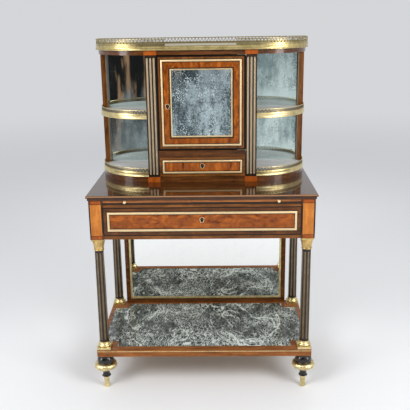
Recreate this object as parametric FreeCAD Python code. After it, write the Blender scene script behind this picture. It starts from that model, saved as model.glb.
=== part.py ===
"""Bonheur du jour: a small writing table on four fluted columns, with a mirrored upper stage (gradin).

Millimetres, +Z up, front towards -Y. The origin is on the floor, under the middle of the table top.
"""
import FreeCAD, Part
import math
import os

V = FreeCAD.Vector

# Clearances
FIT = 0.05                 # round a glued or pressed-in piece
RUN = 0.3                  # between pieces that slide on each other
GAP = 1.0                  # shadow gap round a drawer front

# Table top
TOP_WIDTH = 800.0
TOP_DEPTH = 455.0
TABLE_HEIGHT = 750.0
NOSING_HEIGHT = 9.0
NOSING_ROUND = 3.2
NOSING_OVERHANG = 8.0      # beyond the corner posts
STEP_HEIGHT = 8.5          # square step under the nosing
STEP_OVERHANG = 3.0

# Frieze
FRIEZE_HEIGHT = 142.5
POST_SIZE = 48.0
PANEL_MARGIN = 5.0         # plain edge beside a post's veneer panel
PANEL_END = 15.0           # plain block above and below it
PANEL_THICKNESS = 1.0
RAIL_THICKNESS = 20.0
RAIL_RECESS = 3.0          # rails behind the faces of the posts
UPPER_RAIL_HEIGHT = 16.0
LOWER_RAIL_HEIGHT = 15.0
RUNNER_LEDGE = 14.0        # runner under a drawer side
GUIDE_HEIGHT = 35.0        # guide beside a drawer side

# Writing slide
SLIDE_THICKNESS = 13.0
SLIDE_REAR_GAP = 28.0      # writing slide in front of the back rail
LEATHER_THICKNESS = 1.2
LEATHER_MARGIN = 42.0
KNOB_INSET = 78.0          # knob from the corner post
KNOB_BASE_RADIUS = 5.2
KNOB_NECK_RADIUS = 2.3
KNOB_NECK_LENGTH = 2.0
KNOB_LENGTH = 12.0
KNOB_SHANK_RADIUS = 1.5
KNOB_SHANK_LENGTH = 12.0

# Frieze drawer
DRAWER_FRONT_THICKNESS = 18.0
DRAWER_WALL = 10.0
DRAWER_REAR_GAP = 38.0     # drawer in front of the back rail
DRAWER_SIDE_DROP = 14.0    # sides below the top of the front
DRAWER_BOTTOM = 7.0
DRAWER_BOTTOM_LIFT = 6.0
DRAWER_KEY_DROP = 40.0     # keyhole below the top of the front
MOULDING_MARGIN = 10.5     # wood outside the brass frame
MOULDING_WIDTH = 10.5
MOULDING_PROUD = 3.0
MOULDING_ROUND = 2.4

# Locks and keyholes
KEYHOLE_RADIUS = 2.6
KEYHOLE_SLOT_WIDTH = 2.8
KEYHOLE_SLOT = 8.0
ESCUTCHEON_RADIUS = 8.0
ESCUTCHEON_WAIST = 8.0
ESCUTCHEON_TAIL_WIDTH = 12.0
ESCUTCHEON_TAIL = 11.5
ESCUTCHEON_THICKNESS = 1.2
LOCK_WIDTH = 46.0
LOCK_THICKNESS = 8.0
LOCK_BACKSET = 6.0         # case past the keyhole
BOLT_WIDTH = 16.0
BOLT_THICKNESS = 4.0
BOLT_LENGTH = 15.0

# Lower shelf
SHELF_HEIGHT = 163.0       # its top above the floor
SHELF_THICKNESS = 27.0
SHELF_MARGIN = 25.5        # edge beyond the column axes
SHELF_RAIL_WIDTH = 29.0    # front and rear rails
SHELF_SIDE_WIDTH = 15.0    # side rails
SHELF_CORNER = 71.0        # corner block under a column
SHELF_BOARD_LIFT = 2.0     # board above the underside of the rails
SHELF_MARBLE = 15.0
SHELF_MARBLE_SINK = 1.0

# Columns
COLUMN_FOOT_RADIUS = 17.5
COLUMN_NECK_RADIUS = 15.8
COLUMN_FLUTES = 8
COLUMN_FLUTE_RADIUS = 3.1
FLUTE_END = 9.0            # plain shaft past a flute's end
LINER_WALL = 0.8           # brass sheet in a flute
TENON_RADIUS = 9.0
POST_TENON = 14.0          # column's tenon in a corner post
TENON_WEB = 3.0            # shelf left between a column's tenon and a foot's
CAPITAL_HEIGHT = 44.0
CAPITAL_SLEEVE = 0.6       # capital's neck outside the shaft
CAPITAL_RING = 4.0
CAPITAL_NECKING = 3.0
CAPITAL_BELL_PROUD = 4.7   # bell beyond the shaft's neck
CAPITAL_RIM = 4.0
ABACUS_PROUD = 6.2         # abacus beyond the shaft's neck
ABACUS_HEIGHT = 6.0
BASE_HEIGHT = 28.0
BASE_PLINTH_PROUD = 7.5    # square plinth beyond the shaft's foot
BASE_PLINTH_HEIGHT = 9.0
BASE_TORUS_PROUD = 6.5     # torus beyond the shaft's foot
BASE_TORUS_HEIGHT = 9.5
BASE_LIP = 2.0             # ring under the shaft, beyond it
BASE_LIP_HEIGHT = 3.0

# Feet
FOOT_HEAD_RADIUS = 26.0
FOOT_HEAD_HEIGHT = 32.0    # black head above the ring
FOOT_HEAD_RIM = 7.0
FOOT_RING_SEAT = 29.0
FOOT_RING_FLAT = 3.0       # flat faces of the ring beside its seat
FOOT_RING_RADIUS = 42.0
FOOT_RING_HEIGHT = 23.0
FOOT_SHOULDER = 2.5        # step that carries the ring
FOOT_SHOULDER_HEIGHT = 9.0
FOOT_STEM_RADIUS = 16.5
FOOT_COLLAR_RADIUS = 14.5
FOOT_COLLAR_HEIGHT = 4.0
PEG_RADIUS = 7.0
SABOT_HEIGHT = 46.0
SABOT_RIM_RADIUS = 13.0
SABOT_NECK_RADIUS = 9.5
SABOT_NECK_HEIGHT = 33.0
SABOT_TOE_RADIUS = 11.0
SABOT_TOE_HEIGHT = 6.0
SABOT_SOLE_RADIUS = 8.0
SABOT_SOLE = 8.0           # brass under the peg

# Back mirror between the rear columns
BACK_FRAME_INSET = 31.0    # frame's edge inside the column axis
BACK_FRAME_WIDTH = 17.5
BACK_FRAME_THICKNESS = 18.0
BACK_FRAME_SETBACK = 7.5   # frame's face behind the column axis
BACK_BEAD_WIDTH = 8.0
BEAD_DEPTH = 5.0
BEAD_ROUND = 2.4
GLASS = 4.0
BACK_BOARD = 6.0

# Gradin: the upper stage
GRADIN_MARGIN = 9.0        # table top beyond its ends
GRADIN_REAR_MARGIN = 29.0  # table top behind it
NICHE_RADIUS = 192.0
PLINTH_HEIGHT = 19.0
PILASTER_HEIGHT = 441.0
PILASTER_WIDTH = 40.0
PILASTER_FLUTES = 3
PILASTER_FLUTE_RADIUS = 3.7
PILASTER_FLUTE_PITCH = 12.0
BLOCK_WIDTH = 46.0
BLOCK_PROUD = 3.0
SIDE_THICKNESS = 18.0      # cabinet sides behind the pilasters
GRADIN_POST_WIDTH = 22.0
GRADIN_POST_DEPTH = 24.0
GRADIN_BACK = 10.0
CORNICE_HEIGHT = 16.0
TOP_SLAB = 16.0            # marble top and the brass band round it
TOP_SLAB_OVERHANG = 8.0
TOP_GALLERY_HEIGHT = 23.0
TOP_GALLERY_RETURN = 74.0  # straight front return beyond the quarter round
BAND_WALL = 3.0
GALLERY_WALL = 1.8

# Niche shelves
NICHE_SHELF_RISE = 214.0   # underside of the middle shelves above the plinth
NICHE_BOARD = 10.0
NICHE_MARBLE = 10.0
NICHE_BAND_LIP = 1.0       # band above the marble
NICHE_GALLERY_HEIGHT = 12.0

# Cabinet door
DIVIDER_RISE = 74.0        # underside of the divider rail above the plinth
DIVIDER_HEIGHT = 24.0
DIVIDER_BOARD = 12.0
DOOR_THICKNESS = 20.0
DOOR_RECESS = 2.5          # door and small drawer behind the pilasters' faces
DOOR_SIDE_GAP = 1.5
DOOR_MEMBER = 44.0
DOOR_MOULDING_MARGIN = 11.0
DOOR_MOULDING_WIDTH = 9.0
DOOR_BEAD_WIDTH = 6.0
DOOR_BEAD_SETBACK = 3.0
DOOR_KEY_INSET = 9.0       # keyhole from the inner edge of the left stile
DOOR_KEY_RISE = 160.0      # keyhole above the door's lower edge
HINGE_LEAF = 1.5
HINGE_LEAF_LENGTH = 30.0
HINGE_LEAF_WIDTH = 12.0
HINGE_LEAF_SETBACK = 2.0
KNUCKLE_RADIUS = 3.0
PIN_RADIUS = 1.5
PIN_TIP = 1.0              # pin past the door's leaf

# Small drawer under the door
SMALL_FRONT_THICKNESS = 16.0
SMALL_WALL = 8.0
SMALL_REAR_GAP = 23.5      # small drawer in front of the gradin's back
SMALL_BOTTOM = 5.0
SMALL_BOTTOM_LIFT = 2.0
SMALL_GUIDE_HEIGHT = 20.0
SMALL_KEY_DROP = 31.0
SMALL_MOULDING_MARGIN = 9.0
SMALL_MOULDING_WIDTH = 9.0

# Rise of an arc over its chord, to the left of the way it is drawn
QUARTER = math.tan(math.pi / 8) / 2
HALF_ROUND = 0.5
SHALLOW = 0.12

# Places worked out from the sizes above
FRONT = -TOP_DEPTH / 2
FRIEZE_X = TOP_WIDTH / 2 - NOSING_OVERHANG
FRIEZE_Y = TOP_DEPTH / 2 - NOSING_OVERHANG
FRIEZE_TOP = TABLE_HEIGHT - NOSING_HEIGHT - STEP_HEIGHT
FRIEZE_BOTTOM = FRIEZE_TOP - FRIEZE_HEIGHT
POST_X = FRIEZE_X - POST_SIZE
POST_Y = FRIEZE_Y - POST_SIZE
COLUMN_X = FRIEZE_X - POST_SIZE / 2
COLUMN_Y = FRIEZE_Y - POST_SIZE / 2
RAIL_FACE = -FRIEZE_Y + RAIL_RECESS
RAIL_BACK = RAIL_FACE + RAIL_THICKNESS
RAIL_X = FRIEZE_X - RAIL_RECESS - RAIL_THICKNESS
BOLT_SETBACK = (LOCK_THICKNESS + BOLT_THICKNESS) / 2
UPPER_RAIL_BACK = RAIL_FACE + DRAWER_FRONT_THICKNESS - BOLT_SETBACK - GAP
SLIDE_TOP = FRIEZE_TOP - RUN
SLIDE_BOTTOM = SLIDE_TOP - SLIDE_THICKNESS
UPPER_RAIL_TOP = SLIDE_BOTTOM - RUN
UPPER_RAIL_BOTTOM = UPPER_RAIL_TOP - UPPER_RAIL_HEIGHT
LOWER_RAIL_TOP = FRIEZE_BOTTOM + LOWER_RAIL_HEIGHT
SHELF_X = COLUMN_X + SHELF_MARGIN
SHELF_Y = COLUMN_Y + SHELF_MARGIN
SHELF_BOTTOM = SHELF_HEIGHT - SHELF_THICKNESS
SHELF_TENON = (SHELF_THICKNESS - TENON_WEB) / 2 - RUN
SHAFT_BOTTOM = SHELF_HEIGHT + BASE_HEIGHT
SHAFT_TOP = FRIEZE_BOTTOM - CAPITAL_HEIGHT
FOOT_RING_TOP = SHELF_BOTTOM - FOOT_HEAD_HEIGHT
FOOT_RING_BOTTOM = FOOT_RING_TOP - FOOT_RING_HEIGHT
GRADIN_X = TOP_WIDTH / 2 - GRADIN_MARGIN
PILASTER_OUTER = GRADIN_X - NICHE_RADIUS
PILASTER_INNER = PILASTER_OUTER - PILASTER_WIDTH
PILASTER_X = (PILASTER_OUTER + PILASTER_INNER) / 2
SIDE_INNER = PILASTER_OUTER - SIDE_THICKNESS
GRADIN_REAR = TOP_DEPTH / 2 - GRADIN_REAR_MARGIN
GRADIN_BACK_FACE = GRADIN_REAR - GRADIN_BACK
GRADIN_POST_FRONT = GRADIN_BACK_FACE - GRADIN_POST_DEPTH
GRADIN_FRONT = GRADIN_POST_FRONT - NICHE_RADIUS
GRADIN_POST_OUTER = GRADIN_X - BAND_WALL
GRADIN_POST_INNER = GRADIN_POST_OUTER - GRADIN_POST_WIDTH
NICHE_MIRROR_FACE = GRADIN_BACK_FACE - GLASS
PLINTH_TOP = TABLE_HEIGHT + PLINTH_HEIGHT
CORNICE_BOTTOM = PLINTH_TOP + PILASTER_HEIGHT
CORNICE_TOP = CORNICE_BOTTOM + CORNICE_HEIGHT
SLAB_TOP = CORNICE_TOP + TOP_SLAB
DOOR_FACE = GRADIN_FRONT + DOOR_RECESS
DOOR_BACK = DOOR_FACE + DOOR_THICKNESS
DOOR_X = PILASTER_INNER - DOOR_SIDE_GAP
PILASTER_BACK = DOOR_BACK - BOLT_SETBACK - GAP
DIVIDER_BOTTOM = PLINTH_TOP + DIVIDER_RISE
DIVIDER_TOP = DIVIDER_BOTTOM + DIVIDER_HEIGHT
SMALL_FRONT_BACK = DOOR_FACE + SMALL_FRONT_THICKNESS
DIVIDER_RAIL_BACK = SMALL_FRONT_BACK - BOLT_SETBACK - GAP
HINGE_ROOM = 2 * HINGE_LEAF + RUN
DOOR_BOTTOM = DIVIDER_TOP + HINGE_ROOM
DOOR_TOP = CORNICE_BOTTOM - HINGE_ROOM
HINGE_X = PILASTER_INNER
HINGE_Y = GRADIN_FRONT - KNUCKLE_RADIUS - RUN
SMALL_BOX_X = DOOR_X - DOOR_SIDE_GAP

nodes = {}


# Shape helpers
def box(x0, x1, y0, y1, z0, z1):
    return Part.makeBox(x1 - x0, y1 - y0, z1 - z0, V(x0, y0, z0))


def rod(radius, x, y, z0, z1):
    return Part.makeCylinder(radius, z1 - z0, V(x, y, z0))


def across_rod(radius, x, z, y0, y1):
    return Part.makeCylinder(radius, y1 - y0, V(x, y0, z), V(0, 1, 0))


def both_sides(*shapes):
    """Each shape and its mirror image on the other side of the piece."""
    return [s for shape in shapes for s in (shape, shape.mirror(V(0, 0, 0), V(1, 0, 0)))]


def at_columns(shape):
    """Copies of a shape made on the Z axis, one at each column axis."""
    corners = [(sx * COLUMN_X, sy * COLUMN_Y) for sx in (-1, 1) for sy in (-1, 1)]
    return [shape.translated(V(x, y, 0)) for x, y in corners]


def outline(place, points):
    """A closed wire through points. A third number makes the stretch to that point an arc of that rise."""
    edges = []
    for (x0, y0, *_), (x1, y1, *rise) in zip(points, [*points[1:], points[0]]):
        if rise:
            middle = ((x0 + x1) / 2 - rise[0] * (y1 - y0), (y0 + y1) / 2 + rise[0] * (x1 - x0))
            edges.append(Part.Arc(place(x0, y0), place(*middle), place(x1, y1)).toShape())
        else:
            edges.append(Part.LineSegment(place(x0, y0), place(x1, y1)).toShape())
    return Part.Wire(edges)


def turned(*points):
    """A solid of revolution about Z, from a profile of (radius, height) points."""
    profile = Part.Face(outline(lambda r, z: V(r, 0, z), points))
    return profile.revolve(V(0, 0, 0), V(0, 0, 1), 360)


def plate(z0, z1, *points):
    """A flat piece between two heights, from a plan of (x, y) points."""
    plan = Part.Face(outline(lambda x, y: V(x, y, z0), points))
    return plan.extrude(V(0, 0, z1 - z0))


def mitred_frame(x0, x1, z0, z1, width, back, front, rounding=0.0):
    """Four mitred strips round a rectangle that faces -Y, each rounded on its two front edges."""
    outer = [(x0, z0), (x1, z0), (x1, z1), (x0, z1)]
    inner = [(x0 + width, z0 + width), (x1 - width, z0 + width),
             (x1 - width, z1 - width), (x0 + width, z1 - width)]
    strips = []
    for i in range(4):
        j = (i + 1) % 4
        corners = [V(x, back, z) for x, z in (outer[i], outer[j], inner[j], inner[i], outer[i])]
        strip = Part.Face(Part.makePolygon(corners)).extrude(V(0, front - back, 0))
        if rounding:
            along = V(1, 0, 0) if i % 2 == 0 else V(0, 0, 1)
            edges = [e for e in strip.Edges if runs_on_front(e, along, front)]
            strip = strip.makeFillet(min(rounding, 0.4 * width, 0.8 * (back - front)), edges)
        strips.append(strip)
    return strips


def runs_on_front(edge, along, front):
    """True for an edge that lies in the plane y = front and runs along a direction."""
    a, b = (v.Point for v in edge.Vertexes)
    parallel = (b - a).cross(along).Length < 1e-6
    return parallel and abs(a.y - front) < 1e-6 and abs(b.y - front) < 1e-6


def capsule(radius, bottom, top):
    """A round-ended rod between two points: the shape that a fluting tool cuts."""
    length = (top - bottom).Length
    shape = turned((0, -radius), (radius, 0, -QUARTER), (radius, length), (0, length + radius, -QUARTER))
    shape.Placement = FreeCAD.Placement(bottom, FreeCAD.Rotation(V(0, 0, 1), top - bottom))
    return shape


def fluted(blank, radius, lines):
    """A blank with round-ended flutes cut along lines on its surface, and the brass sheet in each flute."""
    liners = []
    for line in lines:
        sheet = capsule(radius - FIT, *line).cut(capsule(radius - LINER_WALL, *line))
        liners.append(sheet.common(blank))
    return blank.cut([capsule(radius, *line) for line in lines]), liners


def keyhole(x, z, y0, y1):
    """The key's way through a front that faces -Y."""
    half = KEYHOLE_SLOT_WIDTH / 2
    slot = box(x - half, x + half, y0, y1, z - KEYHOLE_SLOT, z)
    return across_rod(KEYHOLE_RADIUS, x, z, y0, y1).fuse(slot).removeSplitter()


def escutcheon(x, z, face):
    """A brass plate shaped like the keyhole that it frames."""
    front = face - ESCUTCHEON_THICKNESS
    waist, tail = ESCUTCHEON_WAIST / 2, ESCUTCHEON_TAIL_WIDTH / 2
    foot = z - ESCUTCHEON_TAIL
    corners = [(x - waist, z), (x - tail, foot), (x + tail, foot), (x + waist, z), (x - waist, z)]
    skirt = Part.Face(Part.makePolygon([V(px, front, pz) for px, pz in corners]))
    disc = across_rod(ESCUTCHEON_RADIUS, x, z, front, face)
    body = disc.fuse(skirt.extrude(V(0, ESCUTCHEON_THICKNESS, 0))).removeSplitter()
    return body.cut(keyhole(x, z, front, face))


def drawer_lock(back, top, key_drop):
    """A lock let into the back of a drawer front: its case, its bolt and the recess that takes it."""
    bottom = top - key_drop - LOCK_BACKSET
    half, bolt_half = LOCK_WIDTH / 2, BOLT_WIDTH / 2
    recess = box(-half, half, back - LOCK_THICKNESS, back, bottom, top)
    case = box(-half + FIT, half - FIT, back - LOCK_THICKNESS + FIT, back, bottom + FIT, top)
    y0 = back - BOLT_SETBACK
    y1 = y0 + BOLT_THICKNESS
    bolt = box(-bolt_half, bolt_half, y0, y1, top - BOLT_LENGTH, top)
    channel = box(-bolt_half - RUN, bolt_half + RUN, y0 - RUN, y1 + RUN, top - BOLT_LENGTH - RUN, top)
    return case.cut(channel), bolt, recess


def drawer_box(half, y0, y1, z0, z1, wall, bottom, lift):
    """Sides, back and bottom of a drawer behind its front, as four separate boards."""
    sides = both_sides(box(half - wall, half, y0, y1, z0, z1))
    floor_top = z0 + lift + bottom
    back = box(-half + wall, half - wall, y1 - wall, y1, floor_top, z1)
    floor = box(-half + wall, half - wall, y0, y1, z0 + lift, floor_top)
    return [*sides, back, floor]


def d_plan(half, front, radius, rear):
    """Plan of the gradin: a straight front between two quarter rounds."""
    x, y = half - radius, front + radius
    return [(-x, front, -QUARTER), (x, front), (half, y, -QUARTER), (half, rear), (-half, rear), (-half, y)]


# Table: top, frieze and what slides in it
def build_table_top():
    nosing_bottom = TABLE_HEIGHT - NOSING_HEIGHT
    nosing = box(-TOP_WIDTH / 2, TOP_WIDTH / 2, FRONT, -FRONT, nosing_bottom, TABLE_HEIGHT)
    rims = [e for e in nosing.Edges if abs(e.Vertexes[0].Z - e.Vertexes[1].Z) < 1e-6]
    nosing = nosing.makeFillet(min(NOSING_ROUND, 0.4 * NOSING_HEIGHT), rims)
    x, y = FRIEZE_X + STEP_OVERHANG, FRIEZE_Y + STEP_OVERHANG
    step = box(-x, x, -y, y, FRIEZE_TOP, nosing_bottom)
    nodes["table_top"] = [nosing.fuse(step).removeSplitter()]


def build_frieze():
    half = POST_SIZE / 2
    socket = rod(TENON_RADIUS + FIT, 0, 0, FRIEZE_BOTTOM, FRIEZE_BOTTOM + POST_TENON + RUN)
    post = box(-half, half, -half, half, FRIEZE_BOTTOM, FRIEZE_TOP).cut(socket)
    nodes["corner_posts"] = at_columns(post)

    half -= PANEL_MARGIN
    z0, z1 = FRIEZE_BOTTOM + PANEL_END, FRIEZE_TOP - PANEL_END
    front = box(COLUMN_X - half, COLUMN_X + half, -FRIEZE_Y - PANEL_THICKNESS, -FRIEZE_Y, z0, z1)
    sides = [box(FRIEZE_X, FRIEZE_X + PANEL_THICKNESS, y - half, y + half, z0, z1)
             for y in (-COLUMN_Y, COLUMN_Y)]
    nodes["post_panels"] = both_sides(front, *sides)

    side = box(RAIL_X, RAIL_X + RAIL_THICKNESS, -POST_Y, POST_Y, FRIEZE_BOTTOM, FRIEZE_TOP)
    nodes["side_rails"] = both_sides(side)
    nodes["back_rail"] = [box(-POST_X, POST_X, -RAIL_BACK, -RAIL_FACE, FRIEZE_BOTTOM, FRIEZE_TOP)]
    upper = box(-POST_X, POST_X, RAIL_FACE, UPPER_RAIL_BACK, UPPER_RAIL_BOTTOM, UPPER_RAIL_TOP)
    lower = box(-POST_X, POST_X, RAIL_FACE, RAIL_BACK, FRIEZE_BOTTOM, LOWER_RAIL_TOP)
    nodes["front_rails"] = [upper, lower]


def frieze_runner(front, z0, z1, guide_top):
    """A ledge from a front rail to the back rail, and the guide between the posts that it is glued to."""
    ledge = box(POST_X - RUNNER_LEDGE, POST_X, front, -RAIL_BACK, z0, z1)
    guide = box(POST_X, RAIL_X, -POST_Y, POST_Y, z0, guide_top)
    return [ledge, guide]


def build_runners():
    drawer = frieze_runner(RAIL_BACK, FRIEZE_BOTTOM, LOWER_RAIL_TOP, LOWER_RAIL_TOP + GUIDE_HEIGHT)
    slide = frieze_runner(UPPER_RAIL_BACK, UPPER_RAIL_BOTTOM, UPPER_RAIL_TOP, UPPER_RAIL_TOP)
    small = box(SMALL_BOX_X + GAP, SIDE_INNER, SMALL_FRONT_BACK + GAP, GRADIN_BACK_FACE,
                PLINTH_TOP, PLINTH_TOP + SMALL_GUIDE_HEIGHT)
    nodes["drawer_runners"] = both_sides(*drawer, *slide, small)


def build_writing_slide():
    half = POST_X - GAP
    rear = -RAIL_BACK - SLIDE_REAR_GAP
    panel = box(-half, half, RAIL_FACE, rear, SLIDE_BOTTOM, SLIDE_TOP)

    def lining(gap):
        x = half - LEATHER_MARGIN - gap
        y0, y1 = RAIL_FACE + LEATHER_MARGIN + gap, rear - LEATHER_MARGIN - gap
        return box(-x, x, y0, y1, SLIDE_TOP - LEATHER_THICKNESS, SLIDE_TOP)

    knob_x, knob_z = POST_X - KNOB_INSET, (SLIDE_BOTTOM + SLIDE_TOP) / 2
    hole_end = RAIL_FACE + KNOB_SHANK_LENGTH + RUN
    hole = across_rod(KNOB_SHANK_RADIUS + FIT, knob_x, knob_z, RAIL_FACE, hole_end)
    nodes["writing_slide"] = [panel.cut([lining(0), *both_sides(hole)])]
    nodes["slide_leather"] = [lining(FIT)]

    ball = math.tan(math.atan2(KNOB_LENGTH - KNOB_NECK_LENGTH, KNOB_NECK_RADIUS) / 2) / 2
    knob = turned((0, -KNOB_SHANK_LENGTH), (KNOB_SHANK_RADIUS, -KNOB_SHANK_LENGTH), (KNOB_SHANK_RADIUS, 0),
                  (KNOB_BASE_RADIUS, 0), (KNOB_NECK_RADIUS, KNOB_NECK_LENGTH), (0, KNOB_LENGTH, -ball))
    knob.rotate(V(0, 0, 0), V(1, 0, 0), 90)
    knob.translate(V(knob_x, RAIL_FACE, knob_z))
    nodes["slide_knobs"] = both_sides(knob)


def build_drawer():
    half = POST_X - GAP
    z0, z1 = LOWER_RAIL_TOP + GAP, UPPER_RAIL_BOTTOM - GAP
    back = RAIL_FACE + DRAWER_FRONT_THICKNESS
    key_z = z1 - DRAWER_KEY_DROP
    case, bolt, recess = drawer_lock(back, z1, DRAWER_KEY_DROP)
    front = box(-half, half, RAIL_FACE, back, z0, z1)
    nodes["drawer_front"] = [front.cut([recess, keyhole(0, key_z, RAIL_FACE, back)])]
    nodes["drawer_box"] = drawer_box(half, back, -RAIL_BACK - DRAWER_REAR_GAP, LOWER_RAIL_TOP + RUN,
                                     z1 - DRAWER_SIDE_DROP, DRAWER_WALL, DRAWER_BOTTOM, DRAWER_BOTTOM_LIFT)
    x = half - MOULDING_MARGIN
    nodes["drawer_moulding"] = mitred_frame(-x, x, z0 + MOULDING_MARGIN, z1 - MOULDING_MARGIN, MOULDING_WIDTH,
                                            RAIL_FACE, RAIL_FACE - MOULDING_PROUD, MOULDING_ROUND)
    nodes["drawer_escutcheon"] = [escutcheon(0, key_z, RAIL_FACE)]
    nodes["drawer_lock"] = [case]
    nodes["drawer_bolt"] = [bolt]


# Supports: columns, lower shelf, back mirror and feet
def build_columns():
    """Columns with their mounts. Returns the brass sheets in their flutes."""
    lower_end, upper_end = SHELF_HEIGHT - SHELF_TENON, FRIEZE_BOTTOM + POST_TENON
    shaft = turned((0, lower_end), (TENON_RADIUS, lower_end), (TENON_RADIUS, SHAFT_BOTTOM),
                   (COLUMN_FOOT_RADIUS, SHAFT_BOTTOM), (COLUMN_NECK_RADIUS, SHAFT_TOP),
                   (TENON_RADIUS, SHAFT_TOP), (TENON_RADIUS, upper_end), (0, upper_end))
    end = FLUTE_END + COLUMN_FLUTE_RADIUS
    taper = (COLUMN_FOOT_RADIUS - COLUMN_NECK_RADIUS) / (SHAFT_TOP - SHAFT_BOTTOM)
    lines = []
    for i in range(COLUMN_FLUTES):
        angle = 2 * math.pi * (i + 0.5) / COLUMN_FLUTES + math.pi / 2
        outward = V(math.cos(angle), math.sin(angle), 0)
        lines.append((outward * (COLUMN_FOOT_RADIUS - taper * end) + V(0, 0, SHAFT_BOTTOM + end),
                      outward * (COLUMN_NECK_RADIUS + taper * end) + V(0, 0, SHAFT_TOP - end)))
    column, liners = fluted(shaft, COLUMN_FLUTE_RADIUS, lines)
    nodes["columns"] = at_columns(column)
    nodes["column_mounts"] = [*at_columns(capital()), *at_columns(column_base())]
    return [copy for liner in liners for copy in at_columns(liner)]


def square_block(half, bore, z0, z1):
    return box(-half, half, -half, half, z0, z1).cut(rod(bore, 0, 0, z0, z1))


def capital():
    bore = TENON_RADIUS + FIT
    neck = COLUMN_NECK_RADIUS + CAPITAL_SLEEVE
    ring_top = SHAFT_TOP + CAPITAL_RING
    bell_top = FRIEZE_BOTTOM - ABACUS_HEIGHT
    bell_radius = COLUMN_NECK_RADIUS + CAPITAL_BELL_PROUD
    abacus = square_block(COLUMN_NECK_RADIUS + ABACUS_PROUD, bore, bell_top, FRIEZE_BOTTOM)
    bell = turned((bore, SHAFT_TOP), (neck, SHAFT_TOP), (neck, ring_top, -HALF_ROUND),
                  (neck, ring_top + CAPITAL_NECKING), (bell_radius, bell_top - CAPITAL_RIM, SHALLOW),
                  (bell_radius, bell_top), (bore, bell_top))
    return bell.fuse(abacus).removeSplitter()


def column_base():
    bore = TENON_RADIUS + FIT
    plinth_top = SHELF_HEIGHT + BASE_PLINTH_HEIGHT
    torus_top = plinth_top + BASE_TORUS_HEIGHT
    torus = COLUMN_FOOT_RADIUS + BASE_TORUS_PROUD - BASE_TORUS_HEIGHT / 2
    plinth = square_block(COLUMN_FOOT_RADIUS + BASE_PLINTH_PROUD, bore, SHELF_HEIGHT, plinth_top)
    lip = COLUMN_FOOT_RADIUS + BASE_LIP
    rings = turned((bore, plinth_top), (torus, plinth_top), (torus, torus_top, -HALF_ROUND),
                   (lip, SHAFT_BOTTOM - BASE_LIP_HEIGHT, QUARTER), (lip, SHAFT_BOTTOM), (bore, SHAFT_BOTTOM))
    return rings.fuse(plinth).removeSplitter()


def build_shelf():
    corner_x, corner_y = SHELF_X - SHELF_CORNER, SHELF_Y - SHELF_CORNER
    inner_x, inner_y = SHELF_X - SHELF_SIDE_WIDTH, SHELF_Y - SHELF_RAIL_WIDTH
    front = plate(SHELF_BOTTOM, SHELF_HEIGHT, (-SHELF_X, -SHELF_Y), (SHELF_X, -SHELF_Y), (SHELF_X, -corner_y),
                  (corner_x, -corner_y), (corner_x, -inner_y), (-corner_x, -inner_y), (-corner_x, -corner_y),
                  (-SHELF_X, -corner_y))
    depth = SHELF_TENON + RUN
    upper = rod(TENON_RADIUS + FIT, 0, 0, SHELF_HEIGHT - depth, SHELF_HEIGHT)
    lower = rod(TENON_RADIUS + FIT, 0, 0, SHELF_BOTTOM, SHELF_BOTTOM + depth)
    front = front.cut([*at_columns(upper), *at_columns(lower)])
    rear = front.mirror(V(0, 0, 0), V(0, 1, 0))
    side = box(inner_x, SHELF_X, -corner_y, corner_y, SHELF_BOTTOM, SHELF_HEIGHT)
    nodes["shelf_rails"] = [front, rear, *both_sides(side)]

    def notched(gap, z0, z1):
        x0, x1, y0, y1 = corner_x - gap, inner_x - gap, corner_y - gap, inner_y - gap
        return plate(z0, z1, (-x0, -y1), (x0, -y1), (x0, -y0), (x1, -y0), (x1, y0), (x0, y0),
                     (x0, y1), (-x0, y1), (-x0, y0), (-x1, y0), (-x1, -y0), (-x0, -y0))

    marble_top = SHELF_HEIGHT - SHELF_MARBLE_SINK
    marble_bottom = marble_top - SHELF_MARBLE
    nodes["shelf_marble"] = [notched(RUN, marble_bottom, marble_top)]
    nodes["shelf_board"] = [notched(FIT, SHELF_BOTTOM + SHELF_BOARD_LIFT, marble_bottom)]


def build_back_mirror():
    half = COLUMN_X - BACK_FRAME_INSET
    face = COLUMN_Y + BACK_FRAME_SETBACK
    frame_back = face + BACK_FRAME_THICKNESS
    glass_face = face + BEAD_DEPTH
    glass_back = glass_face + GLASS
    x = half - BACK_FRAME_WIDTH - FIT
    z0, z1 = SHELF_HEIGHT + BACK_FRAME_WIDTH + FIT, FRIEZE_BOTTOM - BACK_FRAME_WIDTH - FIT
    nodes["back_mirror_frame"] = mitred_frame(-half, half, SHELF_HEIGHT, FRIEZE_BOTTOM, BACK_FRAME_WIDTH,
                                              frame_back, face)
    nodes["back_mirror_bead"] = mitred_frame(-x, x, z0, z1, BACK_BEAD_WIDTH, glass_face, face, BEAD_ROUND)
    nodes["back_mirror_glass"] = [box(-x, x, glass_face, glass_back, z0, z1)]
    nodes["back_mirror_board"] = [box(-x, x, glass_back, glass_back + BACK_BOARD, z0, z1)]


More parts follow.
